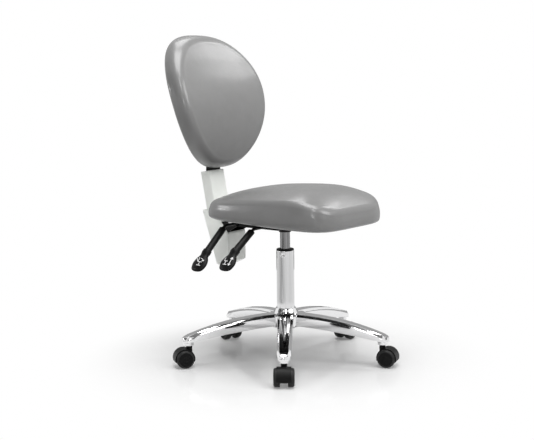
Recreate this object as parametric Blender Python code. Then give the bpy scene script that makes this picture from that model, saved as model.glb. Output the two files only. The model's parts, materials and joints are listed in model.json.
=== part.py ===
"""A doctor chair: an upholstered seat and an egg-shaped backrest on a gas lift and a five-leg base with casters.

Metres, +Z up. The chair's front is towards -Y. The levers are on the sitter's right, which is -X.
The origin is on the floor, on the axis of the column.
"""

import math

import bmesh
import bpy
from mathutils import Matrix, Vector

# Gaps between pieces
FIT = 0.0003
RUN = 0.0001

# Five-leg base
LEG_COUNT = 5
FIRST_LEG_HEADING = 216.7
BASE_REACH = 0.300
CASTER_INSET = 0.020
LEG_ROOT_TOP = 0.134
LEG_ROOT_BOTTOM = 0.101
LEG_TIP_TOP = 0.083
LEG_TIP_BOTTOM = 0.066
LEG_TOP_CURVE = 2.25
LEG_BOTTOM_CURVE = 1.6
LEG_ROOT_WIDTH = 0.046
LEG_TIP_WIDTH = 0.037
LEG_WALL = 0.0035
LEG_ROOF = 0.0125
LEG_SHOULDER = 0.0085
RIB_THICKNESS = 0.004
POCKETS_PER_LEG = 3
POCKET_START = 0.054
POCKET_TO_CASTER = 0.024
HUB_TOP = 0.148
HUB_BOTTOM = 0.0955
HUB_NECK_WALL = 0.0035
HUB_FLARE = 0.0155
HUB_SKIRT_DROP = 0.0185
BOSS_RADIUS = 0.0125
BOSS_BOTTOM = 0.0595

# Twin-wheel casters
WHEEL_RADIUS = 0.025
WHEEL_WIDTH = 0.017
WHEEL_GAP = 0.021
CASTER_TRAIL = 0.0155
AXLE_RADIUS = 0.004
AXLE_GRIP = 0.012
STEM_RADIUS = 0.0055
STEM_IN_LEG = 0.020
STEM_IN_HOOD = 0.021
HOOD_WALL = 0.0022
HOOD_WIDTH = 0.0386
NECK_RADIUS = 0.0085
WHEEL_CLEARANCE = 0.0007

# Gas lift
COLUMN_RADIUS = 0.025
COLUMN_WALL = 0.002
COLUMN_TOP = 0.311
COLUMN_BELOW_HUB = 0.0075
COLUMN_TAPER = 0.0007
COLUMN_FLOOR = 0.003
COLLAR_HEIGHT = 0.004
BUSH_LENGTH = 0.080
CYLINDER_RADIUS = 0.014
CYLINDER_WALL = 0.0025
CYLINDER_BOTTOM = 0.143
CYLINDER_TOP = 0.3895
CONE_LENGTH = 0.0265
CONE_TAPER = 0.00075
SEAL_LENGTH = 0.010
ROD_RADIUS = 0.005
ROD_TAIL_RADIUS = 0.004
PISTON_BOTTOM = 0.240
PISTON_LENGTH = 0.010
BEARING_HEIGHT = 0.006
BEARING_RADIUS = 0.012
CLIP_HEIGHT = 0.0025
CLIP_RADIUS = 0.0075
VALVE_RADIUS = 0.0029
VALVE_RISE = 0.0052
VALVE_LENGTH = 0.0135

# Seat mechanism
SOCKET_WALL = 0.003
SOCKET_LENGTH = 0.0255
SEAT_BOARD_BOTTOM = 0.408
PAN_SHEET = 0.0025
PAN_BOTTOM = 0.376
PAN_HALF_WIDTH = 0.070
PAN_FRONT = -0.034
PAN_REAR = 0.152
PAN_CORNER = 0.006
FLANGE_SIDE = 0.026
FLANGE_FRONT = 0.075
FLANGE_REAR = 0.0015
BOLT_RADIUS = 0.003
BOLT_HEAD_RADIUS = 0.0055
BOLT_HEAD_HEIGHT = 0.004
BOLT_IN_BOARD = 0.009

# Levers
HEIGHT_LEVER_Y = 0.008
TILT_LEVER_Y = 0.115
LEVER_Z = 0.385
LEVER_ROD_RADIUS = 0.0045
HEIGHT_PIVOT_X = -0.045
TILT_PIVOT_X = -0.056
TILT_LEVER_INNER_X = -0.042
HEIGHT_LEVER_BEND_X = -0.128
TILT_LEVER_BEND_X = -0.122
LEVER_BEND_RADIUS = 0.022
HEIGHT_LEVER_BAR = 0.098
TILT_LEVER_BAR = 0.105
HEIGHT_LEVER_SLOPE = 33.0
TILT_LEVER_SLOPE = 39.0
HEIGHT_PADDLE_TURN = 11.0
TILT_PADDLE_TURN = 6.0
PADDLE_LENGTH = 0.061
PADDLE_WIDTH = 0.048
PADDLE_THICKNESS = 0.017
SLEEVE_WIDTH = 0.017
SLEEVE_THICKNESS = 0.0135
TONGUE_X = 0.008
TONGUE_HALF_WIDTH = 0.012
TONGUE_THICKNESS = 0.007
LEVER_PIN_RADIUS = 0.002
EAR_THICKNESS = 0.003
EAR_GAP = 0.0017
EAR_HALF_LENGTH = 0.005
EAR_TOP = 0.391

# Tilt pivot and back bar
TILT_Y = 0.136
TILT_Z = 0.390
TILT_SHAFT_RADIUS = 0.006
TILT_HEAD_RADIUS = 0.009
TILT_HEAD = 0.004
TILT_BUSH_RADIUS = 0.009
BARREL_RADIUS = 0.0115
ARM_SHEET = 0.005
UPRIGHT_LEAN = 11.0
UPRIGHT_Y = 0.2519
UPRIGHT_Z = 0.445
UPRIGHT_WIDTH = 0.046
UPRIGHT_THICKNESS = 0.007
UPRIGHT_TOP = 0.047
BAR_FOOT_DROP = 0.085
BAR_LAP_DROP = 0.100
BAR_HEEL_DROP = 0.112

# White covers
COVER_WALL = 0.0025
LOWER_COVER_WIDTH = 0.080
LOWER_COVER_FRONT_Y = 0.176
LOWER_COVER_FRONT_TOP = 0.3475
LOWER_COVER_FRONT_BOTTOM = 0.265
LOWER_COVER_BOTTOM = 0.2505
LOWER_COVER_KEEL_Y = 0.209
LOWER_COVER_REAR_Y = 0.2205
LOWER_COVER_REAR_TOP_Y = 0.2735
LOWER_COVER_TOP = 0.4095
LOWER_COVER_MOUTH = 0.048
UPPER_COVER_WIDTH = 0.064
UPPER_COVER_DEPTH = 0.0358
UPPER_COVER_LOW = -0.075
UPPER_COVER_HIGH = 0.0775
COVER_EDGE = 0.004
RATCHET_LOW = -0.008
RATCHET_HIGH = 0.032
RATCHET_DEPTH = 0.029

# Seat cushion and board
SEAT_HALF_WIDTH = 0.165
SEAT_FRONT = -0.2465
SEAT_REAR = 0.1833
SEAT_SQUARENESS = 4.92
SEAT_BOTTOM = 0.400
SEAT_CUSHION_HEIGHT = 0.0932
SEAT_CROWN = 0.0307
SEAT_CROWN_POWER = 4.6
SEAT_FRONT_FALL = 0.0162
SEAT_FRONT_FALL_START = -0.10
SEAT_REAR_FALL = 0.0082
SEAT_REAR_FALL_START = 0.0
SEAT_PITCH = 0.030
SEAT_TOP_PITCH = -0.0522
SEAT_ROLL_WIDTH = 0.0239
SEAT_ROLL_HEIGHT = 0.0157
SEAT_RIM = 0.024
SEAT_BOARD_THICKNESS = 0.012

# Backrest cushion and board
BACK_HALF_WIDTH = 0.1765
BACK_EGG = 0.143
BACK_WAIST = 0.09
BACK_SIDE_FULLNESS = 0.80
BACK_END_FULLNESS = 0.935
BACK_CENTRE_Z = 0.7208
BACK_HALF_HEIGHT = 0.184
BACK_FOOT_RISE = 0.0132
BACK_FOOT_Y = 0.2008
BACK_LUMBAR_Z = 0.639
BACK_BEND_RADIUS = 0.361
BACK_STRAIGHT_Z = 0.850
BACK_THICKNESS = 0.0535
BACK_FLARE = 0.0097
BACK_CROWN = 0.006
BACK_RIM = 0.018
BACK_BOARD_THICKNESS = 0.008
BACK_PLATE_THICKNESS = 0.005
BACK_PLATE_WIDTH = 0.057
BACK_PLATE_BEND_RISE = 0.030
BACK_PLATE_MEETS_RISE = 0.055
BACK_PLATE_TOP_RISE = 0.140
LOWER_SCREW_RISE = 0.075
UPPER_SCREW_RISE = 0.122
SCREW_RADIUS = 0.002
SCREW_HEAD_RADIUS = 0.0045
SCREW_HEAD = 0.0025
SCREW_IN_BOARD = 0.006

# Facets
WELD = 0.000001
COLUMN_STEPS = 32
SMALL_STEPS = 12
WHEEL_STEPS = 20
OVAL_STEPS = 12
SEAT_POINTS = 56
BACK_POINTS = 48
BACK_ROWS = 24

# Sizes that follow from those above
CASTER_CIRCLE = BASE_REACH - CASTER_INSET
POCKET_END = CASTER_CIRCLE - POCKET_TO_CASTER
COLUMN_BOTTOM = HUB_BOTTOM - COLUMN_BELOW_HUB
BORE_RADIUS = COLUMN_RADIUS + RUN
HUB_NECK = BORE_RADIUS + HUB_NECK_WALL
TUBE_INSIDE = COLUMN_RADIUS - COLUMN_TAPER - COLUMN_WALL
CYLINDER_INSIDE = CYLINDER_RADIUS - CYLINDER_WALL
CONE_TOP_RADIUS = CYLINDER_RADIUS - CONE_TAPER
SOCKET_RADIUS = CYLINDER_RADIUS + FIT + SOCKET_WALL
SOCKET_TOP = CYLINDER_TOP - 0.001
SOCKET_BOTTOM = SOCKET_TOP - SOCKET_LENGTH
VALVE_TOP = CYLINDER_TOP + VALVE_RISE
TONGUE_Z = VALVE_TOP + FIT + TONGUE_THICKNESS / 2
PAN_TOP = SEAT_BOARD_BOTTOM - FIT
PAN_FLOOR = PAN_BOTTOM + PAN_SHEET
BOLT_X = PAN_HALF_WIDTH + FLANGE_SIDE / 2
BOLT_YS = (PAN_FRONT - FLANGE_FRONT / 2, PAN_REAR - 0.060)
ARM_HALF_WIDTH = LOWER_COVER_WIDTH / 2 - COVER_WALL - FIT
HOOD_INSIDE = WHEEL_RADIUS / math.cos(math.pi / WHEEL_STEPS) + WHEEL_CLEARANCE
HOOD_RADIUS = HOOD_INSIDE + HOOD_WALL
HOOD_TOP = BOSS_BOTTOM - FIT
WEB_HALF_WIDTH = WHEEL_GAP / 2 - WHEEL_CLEARANCE
SEAT_TOP = SEAT_BOTTOM + SEAT_CUSHION_HEIGHT
SEAT_MIDDLE_Y = (SEAT_FRONT + SEAT_REAR) / 2
SEAT_HALF_LENGTH = (SEAT_REAR - SEAT_FRONT) / 2
SEAT_BOARD_TOP = SEAT_BOARD_BOTTOM + SEAT_BOARD_THICKNESS
BACK_FOOT_Z = BACK_CENTRE_Z - BACK_HALF_HEIGHT + BACK_FOOT_RISE
BACK_FRONT_Y = BACK_FOOT_Y - (BACK_FOOT_Z - BACK_LUMBAR_Z) ** 2 / (2 * BACK_BEND_RADIUS)
BACK_PLATE_BENDS = BACK_FOOT_Z + BACK_PLATE_BEND_RISE
BACK_PLATE_MEETS = BACK_FOOT_Z + BACK_PLATE_MEETS_RISE
BACK_PLATE_TOP = BACK_FOOT_Z + BACK_PLATE_TOP_RISE
BACK_SCREW_HEIGHTS = (BACK_FOOT_Z + LOWER_SCREW_RISE, BACK_FOOT_Z + UPPER_SCREW_RISE)
LEAN = math.radians(UPRIGHT_LEAN)
UP_THE_BACK = Vector((0.0, math.sin(LEAN), math.cos(LEAN)))
BEHIND_THE_BACK = Vector((0.0, math.cos(LEAN), -math.sin(LEAN)))
UPRIGHT_FOOT = Vector((0.0, UPRIGHT_Y, UPRIGHT_Z))
BAR_FRONT = -0.001
TAIL_MIDDLE = BAR_FRONT - 0.0012 - BACK_PLATE_THICKNESS / 2

places = {}


def make_finish(name, colour, roughness, metallic):
    """A plain material for one kind of surface."""
    finish = bpy.data.materials.new(name)
    finish.use_nodes = True
    shader = finish.node_tree.nodes["Principled BSDF"]
    shader.inputs["Base Color"].default_value = (*colour, 1.0)
    shader.inputs["Roughness"].default_value = roughness
    shader.inputs["Metallic"].default_value = metallic
    return finish


def add_axis(name, place, parent=None, turn=0.0):
    """An empty on a joint's axis, at a place given in the space of its parent."""
    axis = bpy.data.objects.new(name, None)
    axis.empty_display_size = 0.03
    axis.location = place
    axis.rotation_euler = (0.0, 0.0, turn)
    axis.parent = parent
    bpy.context.scene.collection.objects.link(axis)
    places[name] = Vector(place)
    return axis


def finished_mesh(name, shape, finish, smooth=40.0):
    """A mesh from a bmesh: welded, facing out and shaded smooth between sharp edges."""
    bmesh.ops.remove_doubles(shape, verts=shape.verts, dist=WELD)
    bmesh.ops.recalc_face_normals(shape, faces=shape.faces)
    mesh = bpy.data.meshes.new(name)
    shape.to_mesh(mesh)
    shape.free()
    mesh.materials.append(finish)
    mesh.shade_smooth()
    mesh.set_sharp_from_angle(angle=math.radians(smooth))
    return mesh


def place_mesh(name, mesh, axis=None):
    """An object of this mesh, riding on an axis."""
    piece = bpy.data.objects.new(name, mesh)
    piece.parent = axis
    bpy.context.scene.collection.objects.link(piece)
    return piece


def add_piece(name, shape, finish, axis=None, smooth=40.0):
    """An object from a shape modelled in the chair's own space."""
    if axis is not None:
        bmesh.ops.translate(shape, verts=shape.verts, vec=-places[axis.name])
    return place_mesh(name, finished_mesh(name, shape, finish, smooth), axis)


def add_tool(name, shape, axis=None):
    """A hidden body that cuts or joins another."""
    tool = add_piece(name, shape, tool_finish, axis)
    tool.hide_render = True
    tool.display_type = "WIRE"
    return tool


def combine(piece, operation, tool):
    """Cut a tool out of a piece, or join it on."""
    step = piece.modifiers.new(f"{operation.lower()} {tool.name}", "BOOLEAN")
    step.operation = operation
    step.object = tool


def evaluated_mesh(piece, name):
    """The mesh of a piece with its modifiers applied, for copies to share."""
    bpy.context.view_layer.update()
    graph = bpy.context.evaluated_depsgraph_get()
    mesh = bpy.data.meshes.new_from_object(piece.evaluated_get(graph))
    mesh.name = name
    bpy.data.objects.remove(piece, do_unlink=True)
    return mesh


def turned(profile, steps=COLUMN_STEPS):
    """A body of revolution about Z from (radius, height) points: solid if the profile ends on the axis."""
    shape = bmesh.new()
    points = [shape.verts.new((radius, 0.0, height)) for radius, height in profile]
    pairs = list(zip(points, points[1:]))
    if profile[0][0] > 0.0:
        pairs.append((points[-1], points[0]))
    edges = [shape.edges.new(pair) for pair in pairs]
    bmesh.ops.spin(
        shape, geom=points + edges, cent=(0, 0, 0), axis=(0, 0, 1), angle=2 * math.pi, steps=steps, use_merge=True
    )
    return shape


def rod_along(axis_name, centre, radius, low, high, steps=SMALL_STEPS):
    """A plain round rod along X or Y, through a centre, between two coordinates on that axis."""
    shape = turned(((0, low), (radius, low), (radius, high), (0, high)), steps)
    if axis_name == "X":
        shape.transform(Matrix.Rotation(math.pi / 2, 4, "Y"))
    else:
        shape.transform(Matrix.Rotation(-math.pi / 2, 4, "X"))
    shape.transform(Matrix.Translation(centre))
    return shape


def lofted(rings):
    """A closed body through rings of equal length, capped at both ends."""
    shape = bmesh.new()
    loops = [[shape.verts.new(point) for point in ring] for ring in rings]
    for near, far in zip(loops, loops[1:]):
        for index in range(len(near)):
            after = (index + 1) % len(near)
            shape.faces.new((near[index], near[after], far[after], far[index]))
    shape.faces.new(loops[0])
    shape.faces.new(loops[-1])
    return shape


def through_x(outline, half_width):
    """A plate of a (y, z) outline, centred on the middle plane of the chair."""
    return lofted([[(x, y, z) for y, z in outline] for x in (-half_width, half_width)])


def box(low, high):
    """A box between two corners."""
    corners = ((low[0], low[1]), (high[0], low[1]), (high[0], high[1]), (low[0], high[1]))
    return lofted([[(x, y, z) for x, y in corners] for z in (low[2], high[2])])


def rounded_rectangle(half_x, half_y, corner, steps=3):
    """Points of a rectangle with round corners, centred on the origin."""
    points = []
    for quarter, (sign_x, sign_y) in enumerate(((1, 1), (-1, 1), (-1, -1), (1, -1))):
        for step in range(steps + 1):
            angle = math.radians(90.0 * (quarter + step / steps))
            x = sign_x * (half_x - corner) + corner * math.cos(angle)
            y = sign_y * (half_y - corner) + corner * math.sin(angle)
            points.append((x, y))
    return points


def running_hole(radius, steps=SMALL_STEPS):
    """The corner radius of a faceted hole that a round piece of this radius turns in freely."""
    return (radius + RUN) / math.cos(math.pi / steps)


def heading_of_leg(index):
    """The heading of a leg about Z, in radians."""
    return math.radians(FIRST_LEG_HEADING + index * 360.0 / LEG_COUNT)


def turned_to_leg(shape, index):
    """A shape modelled along +X, turned to a leg's heading."""
    shape.transform(Matrix.Rotation(heading_of_leg(index), 4, "Z"))
    return shape


def leg_top(radius):
    """Height of the leg's crown at a distance from the column."""
    return LEG_ROOT_TOP - (LEG_ROOT_TOP - LEG_TIP_TOP) * (radius / BASE_REACH) ** LEG_TOP_CURVE


def leg_bottom(radius):
    """Height of the leg's lower edge at a distance from the column."""
    return LEG_ROOT_BOTTOM - (LEG_ROOT_BOTTOM - LEG_TIP_BOTTOM) * (radius / BASE_REACH) ** LEG_BOTTOM_CURVE


def leg_half_width(radius):
    """Half the leg's width before its round nose."""
    share = radius / (BASE_REACH - LEG_TIP_WIDTH / 2)
    return (LEG_ROOT_WIDTH + (LEG_TIP_WIDTH - LEG_ROOT_WIDTH) * share) / 2


def leg_section(radius, half, nose_drop):
    """One ring of the leg: a flat crown between two steps, sloping shoulders and upright sides."""
    top = leg_top(radius) - nose_drop
    bottom = leg_bottom(radius) + nose_drop / 2
    side = (
        (0.94 * half, bottom),
        (half, bottom + 0.002),
        (half, top - LEG_SHOULDER),
        (0.72 * half, top - 0.0030),
        (0.66 * half, top - 0.0006),
    )
    right = [(radius, across, height) for across, height in side]
    left = [(radius, -across, height) for across, height in reversed(side)]
    return right + [(radius, 0.0, top + 0.0006)] + left


def make_leg():
    """The outside of one leg along +X, from inside the hub to its round nose."""
    nose = BASE_REACH - LEG_TIP_WIDTH / 2
    start = HUB_NECK - HUB_NECK_WALL / 2
    stations = 7
    rings = []
    for station in range(stations + 1):
        radius = start + (nose - start) * station / stations
        rings.append(leg_section(radius, leg_half_width(radius), 0.0))
    for angle in (35.0, 60.0, 80.0):
        half = LEG_TIP_WIDTH / 2 * math.cos(math.radians(angle))
        radius = nose + LEG_TIP_WIDTH / 2 * math.sin(math.radians(angle))
        rings.append(leg_section(radius, half, 0.0035 * (1.0 - math.cos(math.radians(angle)))))
    return lofted(rings)


def make_pocket(low, high):
    """One hollow under a leg along +X, between two ribs, open below."""
    rings = []
    for radius in (low, (low + high) / 2, high):
        half = leg_half_width(radius) - LEG_WALL
        roof = leg_top(radius) - LEG_ROOF
        mouth = leg_bottom(radius) - 0.003
        rings.append(
            [
                (radius, half, mouth),
                (radius, half, roof - 0.004),
                (radius, half - 0.004, roof),
                (radius, 0.004 - half, roof),
                (radius, -half, roof - 0.004),
                (radius, -half, mouth),
            ]
        )
    return lofted(rings)


def make_star_base():
    """The cast base: a flared hub, legs with ribbed hollows below, and a boss for each caster."""
    flare = HUB_NECK + HUB_FLARE
    skirt = HUB_TOP - HUB_SKIRT_DROP
    profile = (
        (0.0, HUB_BOTTOM),
        (flare - 0.003, HUB_BOTTOM),
        (flare, HUB_BOTTOM + 0.003),
        (flare, skirt - 0.002),
        (flare - 0.002, skirt),
        (HUB_NECK + HUB_FLARE * 0.55, skirt + HUB_SKIRT_DROP * 0.17),
        (HUB_NECK + HUB_FLARE * 0.28, skirt + HUB_SKIRT_DROP * 0.42),
        (HUB_NECK + HUB_FLARE * 0.10, skirt + HUB_SKIRT_DROP * 0.72),
        (HUB_NECK, HUB_TOP - 0.0012),
        (HUB_NECK - 0.0012, HUB_TOP),
        (0.0, HUB_TOP),
    )
    base = add_piece("star_base", turned(profile), polished)
    boss_profile = (
        (0.0, BOSS_BOTTOM),
        (BOSS_RADIUS - 0.001, BOSS_BOTTOM),
        (BOSS_RADIUS, BOSS_BOTTOM + 0.001),
        (BOSS_RADIUS, LEG_TIP_BOTTOM + 0.008),
        (0.0, LEG_TIP_BOTTOM + 0.008),
    )
    stem_top = BOSS_BOTTOM + STEM_IN_LEG
    hole_radius = STEM_RADIUS + RUN
    hole_profile = ((0.0, BOSS_BOTTOM - 0.01), (hole_radius, BOSS_BOTTOM - 0.01), (hole_radius, stem_top + FIT))
    pocket_step = (POCKET_END - POCKET_START + RIB_THICKNESS) / POCKETS_PER_LEG
    for index in range(LEG_COUNT):
        combine(base, "UNION", add_tool(f"leg_{index + 1}", turned_to_leg(make_leg(), index)))
    for index in range(LEG_COUNT):
        boss = turned(boss_profile, SMALL_STEPS)
        boss.transform(Matrix.Rotation(math.pi / SMALL_STEPS, 4, "Z"))
        boss.transform(Matrix.Translation((CASTER_CIRCLE, 0.0, 0.0)))
        combine(base, "UNION", add_tool(f"boss_{index + 1}", turned_to_leg(boss, index)))
    for index in range(LEG_COUNT):
        hole = turned(hole_profile + ((0.0, stem_top + FIT),), SMALL_STEPS)
        hole.transform(Matrix.Translation((CASTER_CIRCLE, 0.0, 0.0)))
        combine(base, "DIFFERENCE", add_tool(f"stem_hole_{index + 1}", turned_to_leg(hole, index)))
        for pocket in range(POCKETS_PER_LEG):
            low = POCKET_START + pocket * pocket_step
            hollow = make_pocket(low, low + pocket_step - RIB_THICKNESS)
            tool = add_tool(f"pocket_{index + 1}_{pocket + 1}", turned_to_leg(hollow, index))
            combine(base, "DIFFERENCE", tool)
    beyond = 0.01
    flare_beyond = COLUMN_TAPER * beyond / (HUB_TOP - HUB_BOTTOM)
    bore = (
        (0.0, HUB_BOTTOM - beyond),
        (BORE_RADIUS - COLUMN_TAPER - flare_beyond, HUB_BOTTOM - beyond),
        (BORE_RADIUS + flare_beyond, HUB_TOP + beyond),
        (0.0, HUB_TOP + beyond),
    )
    combine(base, "DIFFERENCE", add_tool("hub_bore", turned(bore)))


def make_column():
    """The outer tube of the lift with its guide, its bearing and the clip below its floor."""
    bottom_radius = COLUMN_RADIUS - COLUMN_TAPER
    tail_hole = running_hole(ROD_TAIL_RADIUS, COLUMN_STEPS)
    floor = COLUMN_BOTTOM + COLUMN_FLOOR
    add_piece(
        "column_tube",
        turned(
            (
                (tail_hole, COLUMN_BOTTOM),
                (bottom_radius, COLUMN_BOTTOM),
                (bottom_radius, HUB_BOTTOM),
                (COLUMN_RADIUS, HUB_TOP),
                (COLUMN_RADIUS, COLUMN_TOP - 0.001),
                (COLUMN_RADIUS - 0.0006, COLUMN_TOP),
                (TUBE_INSIDE, COLUMN_TOP),
                (TUBE_INSIDE, floor),
                (tail_hole, floor),
            )
        ),
        chrome,
    )
    bush_bottom = COLUMN_TOP - BUSH_LENGTH
    seat_of_collar = COLUMN_TOP + FIT
    collar_top = COLUMN_TOP + COLLAR_HEIGHT
    add_piece(
        "guide_bush",
        turned(
            (
                (running_hole(CYLINDER_RADIUS, COLUMN_STEPS), bush_bottom),
                (TUBE_INSIDE - FIT, bush_bottom),
                (TUBE_INSIDE - FIT, seat_of_collar),
                (COLUMN_RADIUS - 0.0003, seat_of_collar),
                (COLUMN_RADIUS - 0.0003, collar_top - 0.001),
                (COLUMN_RADIUS - 0.0015, collar_top),
                (running_hole(CYLINDER_RADIUS, COLUMN_STEPS), collar_top),
            )
        ),
        black_plastic,
    )
    bearing_bottom = floor + FIT
    bearing_top = bearing_bottom + BEARING_HEIGHT
    middle = (bearing_bottom + bearing_top) / 2
    add_piece(
        "thrust_bearing",
        turned(
            (
                (running_hole(ROD_TAIL_RADIUS), bearing_bottom),
                (BEARING_RADIUS, bearing_bottom),
                (BEARING_RADIUS, middle - 0.0012),
                (BEARING_RADIUS - 0.0012, middle - 0.0012),
                (BEARING_RADIUS - 0.0012, middle + 0.0012),
                (BEARING_RADIUS, middle + 0.0012),
                (BEARING_RADIUS, bearing_top),
                (running_hole(ROD_TAIL_RADIUS), bearing_top),
            ),
            SMALL_STEPS,
        ),
        steel,
    )
    clip_top = COLUMN_BOTTOM - FIT
    add_piece(
        "rod_clip",
        turned(
            (
                (running_hole(ROD_TAIL_RADIUS), clip_top - CLIP_HEIGHT),
                (CLIP_RADIUS, clip_top - CLIP_HEIGHT),
                (CLIP_RADIUS, clip_top),
                (running_hole(ROD_TAIL_RADIUS), clip_top),
            ),
            SMALL_STEPS,
        ),
        steel,
        swivel_axis,
    )
    shoulder = bearing_top + FIT
    piston_radius = CYLINDER_INSIDE - FIT
    piston_top = PISTON_BOTTOM + PISTON_LENGTH
    add_piece(
        "piston_rod",
        turned(
            (
                (0.0, clip_top - CLIP_HEIGHT - 0.002),
                (ROD_TAIL_RADIUS, clip_top - CLIP_HEIGHT - 0.002),
                (ROD_TAIL_RADIUS, shoulder),
                (ROD_RADIUS + 0.003, shoulder),
                (ROD_RADIUS + 0.003, shoulder + 0.004),
                (ROD_RADIUS, shoulder + 0.004),
                (ROD_RADIUS, PISTON_BOTTOM),
                (piston_radius, PISTON_BOTTOM),
                (piston_radius, piston_top),
                (0.0, piston_top),
            ),
            COLUMN_STEPS,
        ),
        steel,
        swivel_axis,
    )


def make_lift():
    """The sliding cylinder, its gland and valve, and the socket that carries the seat."""
    cone_start = CYLINDER_TOP - CONE_LENGTH
    valve_hole = VALVE_RADIUS + RUN
    ceiling = CYLINDER_TOP - 0.007
    add_piece(
        "gas_cylinder",
        turned(
            (
                (CYLINDER_INSIDE, CYLINDER_BOTTOM),
                (CYLINDER_RADIUS, CYLINDER_BOTTOM),
                (CYLINDER_RADIUS, cone_start),
                (CONE_TOP_RADIUS, CYLINDER_TOP),
                (valve_hole, CYLINDER_TOP),
                (valve_hole, ceiling),
                (CYLINDER_INSIDE - 0.002, ceiling),
                (CYLINDER_INSIDE, ceiling - 0.02),
            )
        ),
        chrome,
        lift_axis,
    )
    add_piece(
        "rod_seal",
        turned(
            (
                (ROD_RADIUS + RUN, CYLINDER_BOTTOM),
                (CYLINDER_INSIDE - FIT, CYLINDER_BOTTOM),
                (CYLINDER_INSIDE - FIT, CYLINDER_BOTTOM + SEAL_LENGTH),
                (ROD_RADIUS + RUN, CYLINDER_BOTTOM + SEAL_LENGTH),
            ),
            COLUMN_STEPS,
        ),
        rubber,
        lift_axis,
    )
    valve_bottom = VALVE_TOP - VALVE_LENGTH
    valve_flange = ceiling - FIT
    add_piece(
        "valve_pin",
        turned(
            (
                (0.0, valve_bottom),
                (VALVE_RADIUS + 0.002, valve_bottom),
                (VALVE_RADIUS + 0.002, valve_flange),
                (VALVE_RADIUS, valve_flange),
                (VALVE_RADIUS, VALVE_TOP),
                (0.0, VALVE_TOP),
            ),
            SMALL_STEPS,
        ),
        steel,
        valve_axis,
    )
    cone_at_top = CONE_TOP_RADIUS + CONE_TAPER * (CYLINDER_TOP - SOCKET_TOP) / CONE_LENGTH
    add_piece(
        "taper_socket",
        turned(
            (
                (CYLINDER_RADIUS + FIT, SOCKET_BOTTOM),
                (SOCKET_RADIUS, SOCKET_BOTTOM),
                (SOCKET_RADIUS, SOCKET_TOP),
                (cone_at_top + FIT, SOCKET_TOP),
            )
        ),
        black_steel,
        lift_axis,
    )


def make_pan():
    """The pressed pan under the seat: a tray with a flange, ears for the levers and a notch for the back bar."""
    flange_bottom = PAN_TOP - PAN_SHEET

    def ring(side, front, rear, height):
        low = PAN_FRONT - front
        high = PAN_REAR + rear
        outline = rounded_rectangle(PAN_HALF_WIDTH + side, (high - low) / 2, PAN_CORNER + min(side, 0.0))
        return [(x, (low + high) / 2 + y, height) for x, y in outline]

    inner = (-PAN_SHEET, -PAN_SHEET, -PAN_SHEET)
    flange = (FLANGE_SIDE, FLANGE_FRONT, FLANGE_REAR)
    pan = add_piece(
        "mechanism_pan",
        lofted(
            [
                ring(0.0, 0.0, 0.0, PAN_BOTTOM),
                ring(0.0, 0.0, 0.0, flange_bottom),
                ring(*flange, flange_bottom),
                ring(*flange, PAN_TOP),
                ring(*inner, PAN_TOP),
                ring(*inner, PAN_FLOOR),
            ]
        ),
        black_steel,
        lift_axis,
    )
    for lever, pivot_x, lever_y in (("height", HEIGHT_PIVOT_X, HEIGHT_LEVER_Y), ("tilt", TILT_PIVOT_X, TILT_LEVER_Y)):
        for side in (-1, 1):
            inner = lever_y + side * (LEVER_ROD_RADIUS + EAR_GAP)
            outer = inner + side * EAR_THICKNESS
            low = (pivot_x - EAR_HALF_LENGTH, min(inner, outer), PAN_FLOOR - PAN_SHEET / 2)
            high = (pivot_x + EAR_HALF_LENGTH, max(inner, outer), EAR_TOP)
            combine(pan, "UNION", add_tool(f"{lever}_ear_{side}", box(low, high), lift_axis))
        reach = LEVER_ROD_RADIUS + EAR_GAP + EAR_THICKNESS + 0.001
        centre = (pivot_x, lever_y, LEVER_Z)
        hole = rod_along("Y", centre, LEVER_PIN_RADIUS + RUN, -reach, reach)
        combine(pan, "DIFFERENCE", add_tool(f"{lever}_pin_hole", hole, lift_axis))
        slot = box(
            (-PAN_HALF_WIDTH - 0.005, lever_y - LEVER_ROD_RADIUS - 0.0015, LEVER_Z - LEVER_ROD_RADIUS - 0.0035),
            (0.005 - PAN_HALF_WIDTH, lever_y + LEVER_ROD_RADIUS + 0.0015, LEVER_Z + LEVER_ROD_RADIUS + 0.006),
        )
        combine(pan, "DIFFERENCE", add_tool(f"{lever}_slot", slot, lift_axis))
    socket_hole = turned(
        (
            (0.0, PAN_BOTTOM - 0.01),
            (SOCKET_RADIUS + FIT, PAN_BOTTOM - 0.01),
            (SOCKET_RADIUS + FIT, PAN_FLOOR + 0.005),
            (0.0, PAN_FLOOR + 0.005),
        )
    )
    combine(pan, "DIFFERENCE", add_tool("socket_hole", socket_hole, lift_axis))
    notch = box(
        (-ARM_HALF_WIDTH - 0.003, TILT_Y - BARREL_RADIUS - 0.004, PAN_BOTTOM - 0.01),
        (ARM_HALF_WIDTH + 0.003, PAN_REAR + 0.01, flange_bottom - 0.001),
    )
    combine(pan, "DIFFERENCE", add_tool("arm_notch", notch, lift_axis))
    shaft_reach = PAN_HALF_WIDTH + 0.005
    shaft_hole = rod_along("X", (0, TILT_Y, TILT_Z), TILT_SHAFT_RADIUS + RUN, -shaft_reach, shaft_reach)
    combine(pan, "DIFFERENCE", add_tool("shaft_hole", shaft_hole, lift_axis))
    for index, (x, y) in enumerate(bolt_places()):
        combine(pan, "DIFFERENCE", add_tool(f"bolt_hole_{index + 1}", bolt_hole(x, y), lift_axis))


def bolt_places():
    """Where the seat bolts stand, in plan."""
    return [(side * BOLT_X, y) for y in BOLT_YS for side in (-1, 1)]


def bolt_hole(x, y):
    """The clearance hole of a seat bolt through the flange and into the board."""
    radius = BOLT_RADIUS + FIT
    low = PAN_TOP - PAN_SHEET - 0.005
    high = SEAT_BOARD_BOTTOM + BOLT_IN_BOARD + FIT
    shape = turned(((0.0, low), (radius, low), (radius, high), (0.0, high)), SMALL_STEPS)
    shape.transform(Matrix.Translation((x, y, 0.0)))
    return shape


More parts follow.
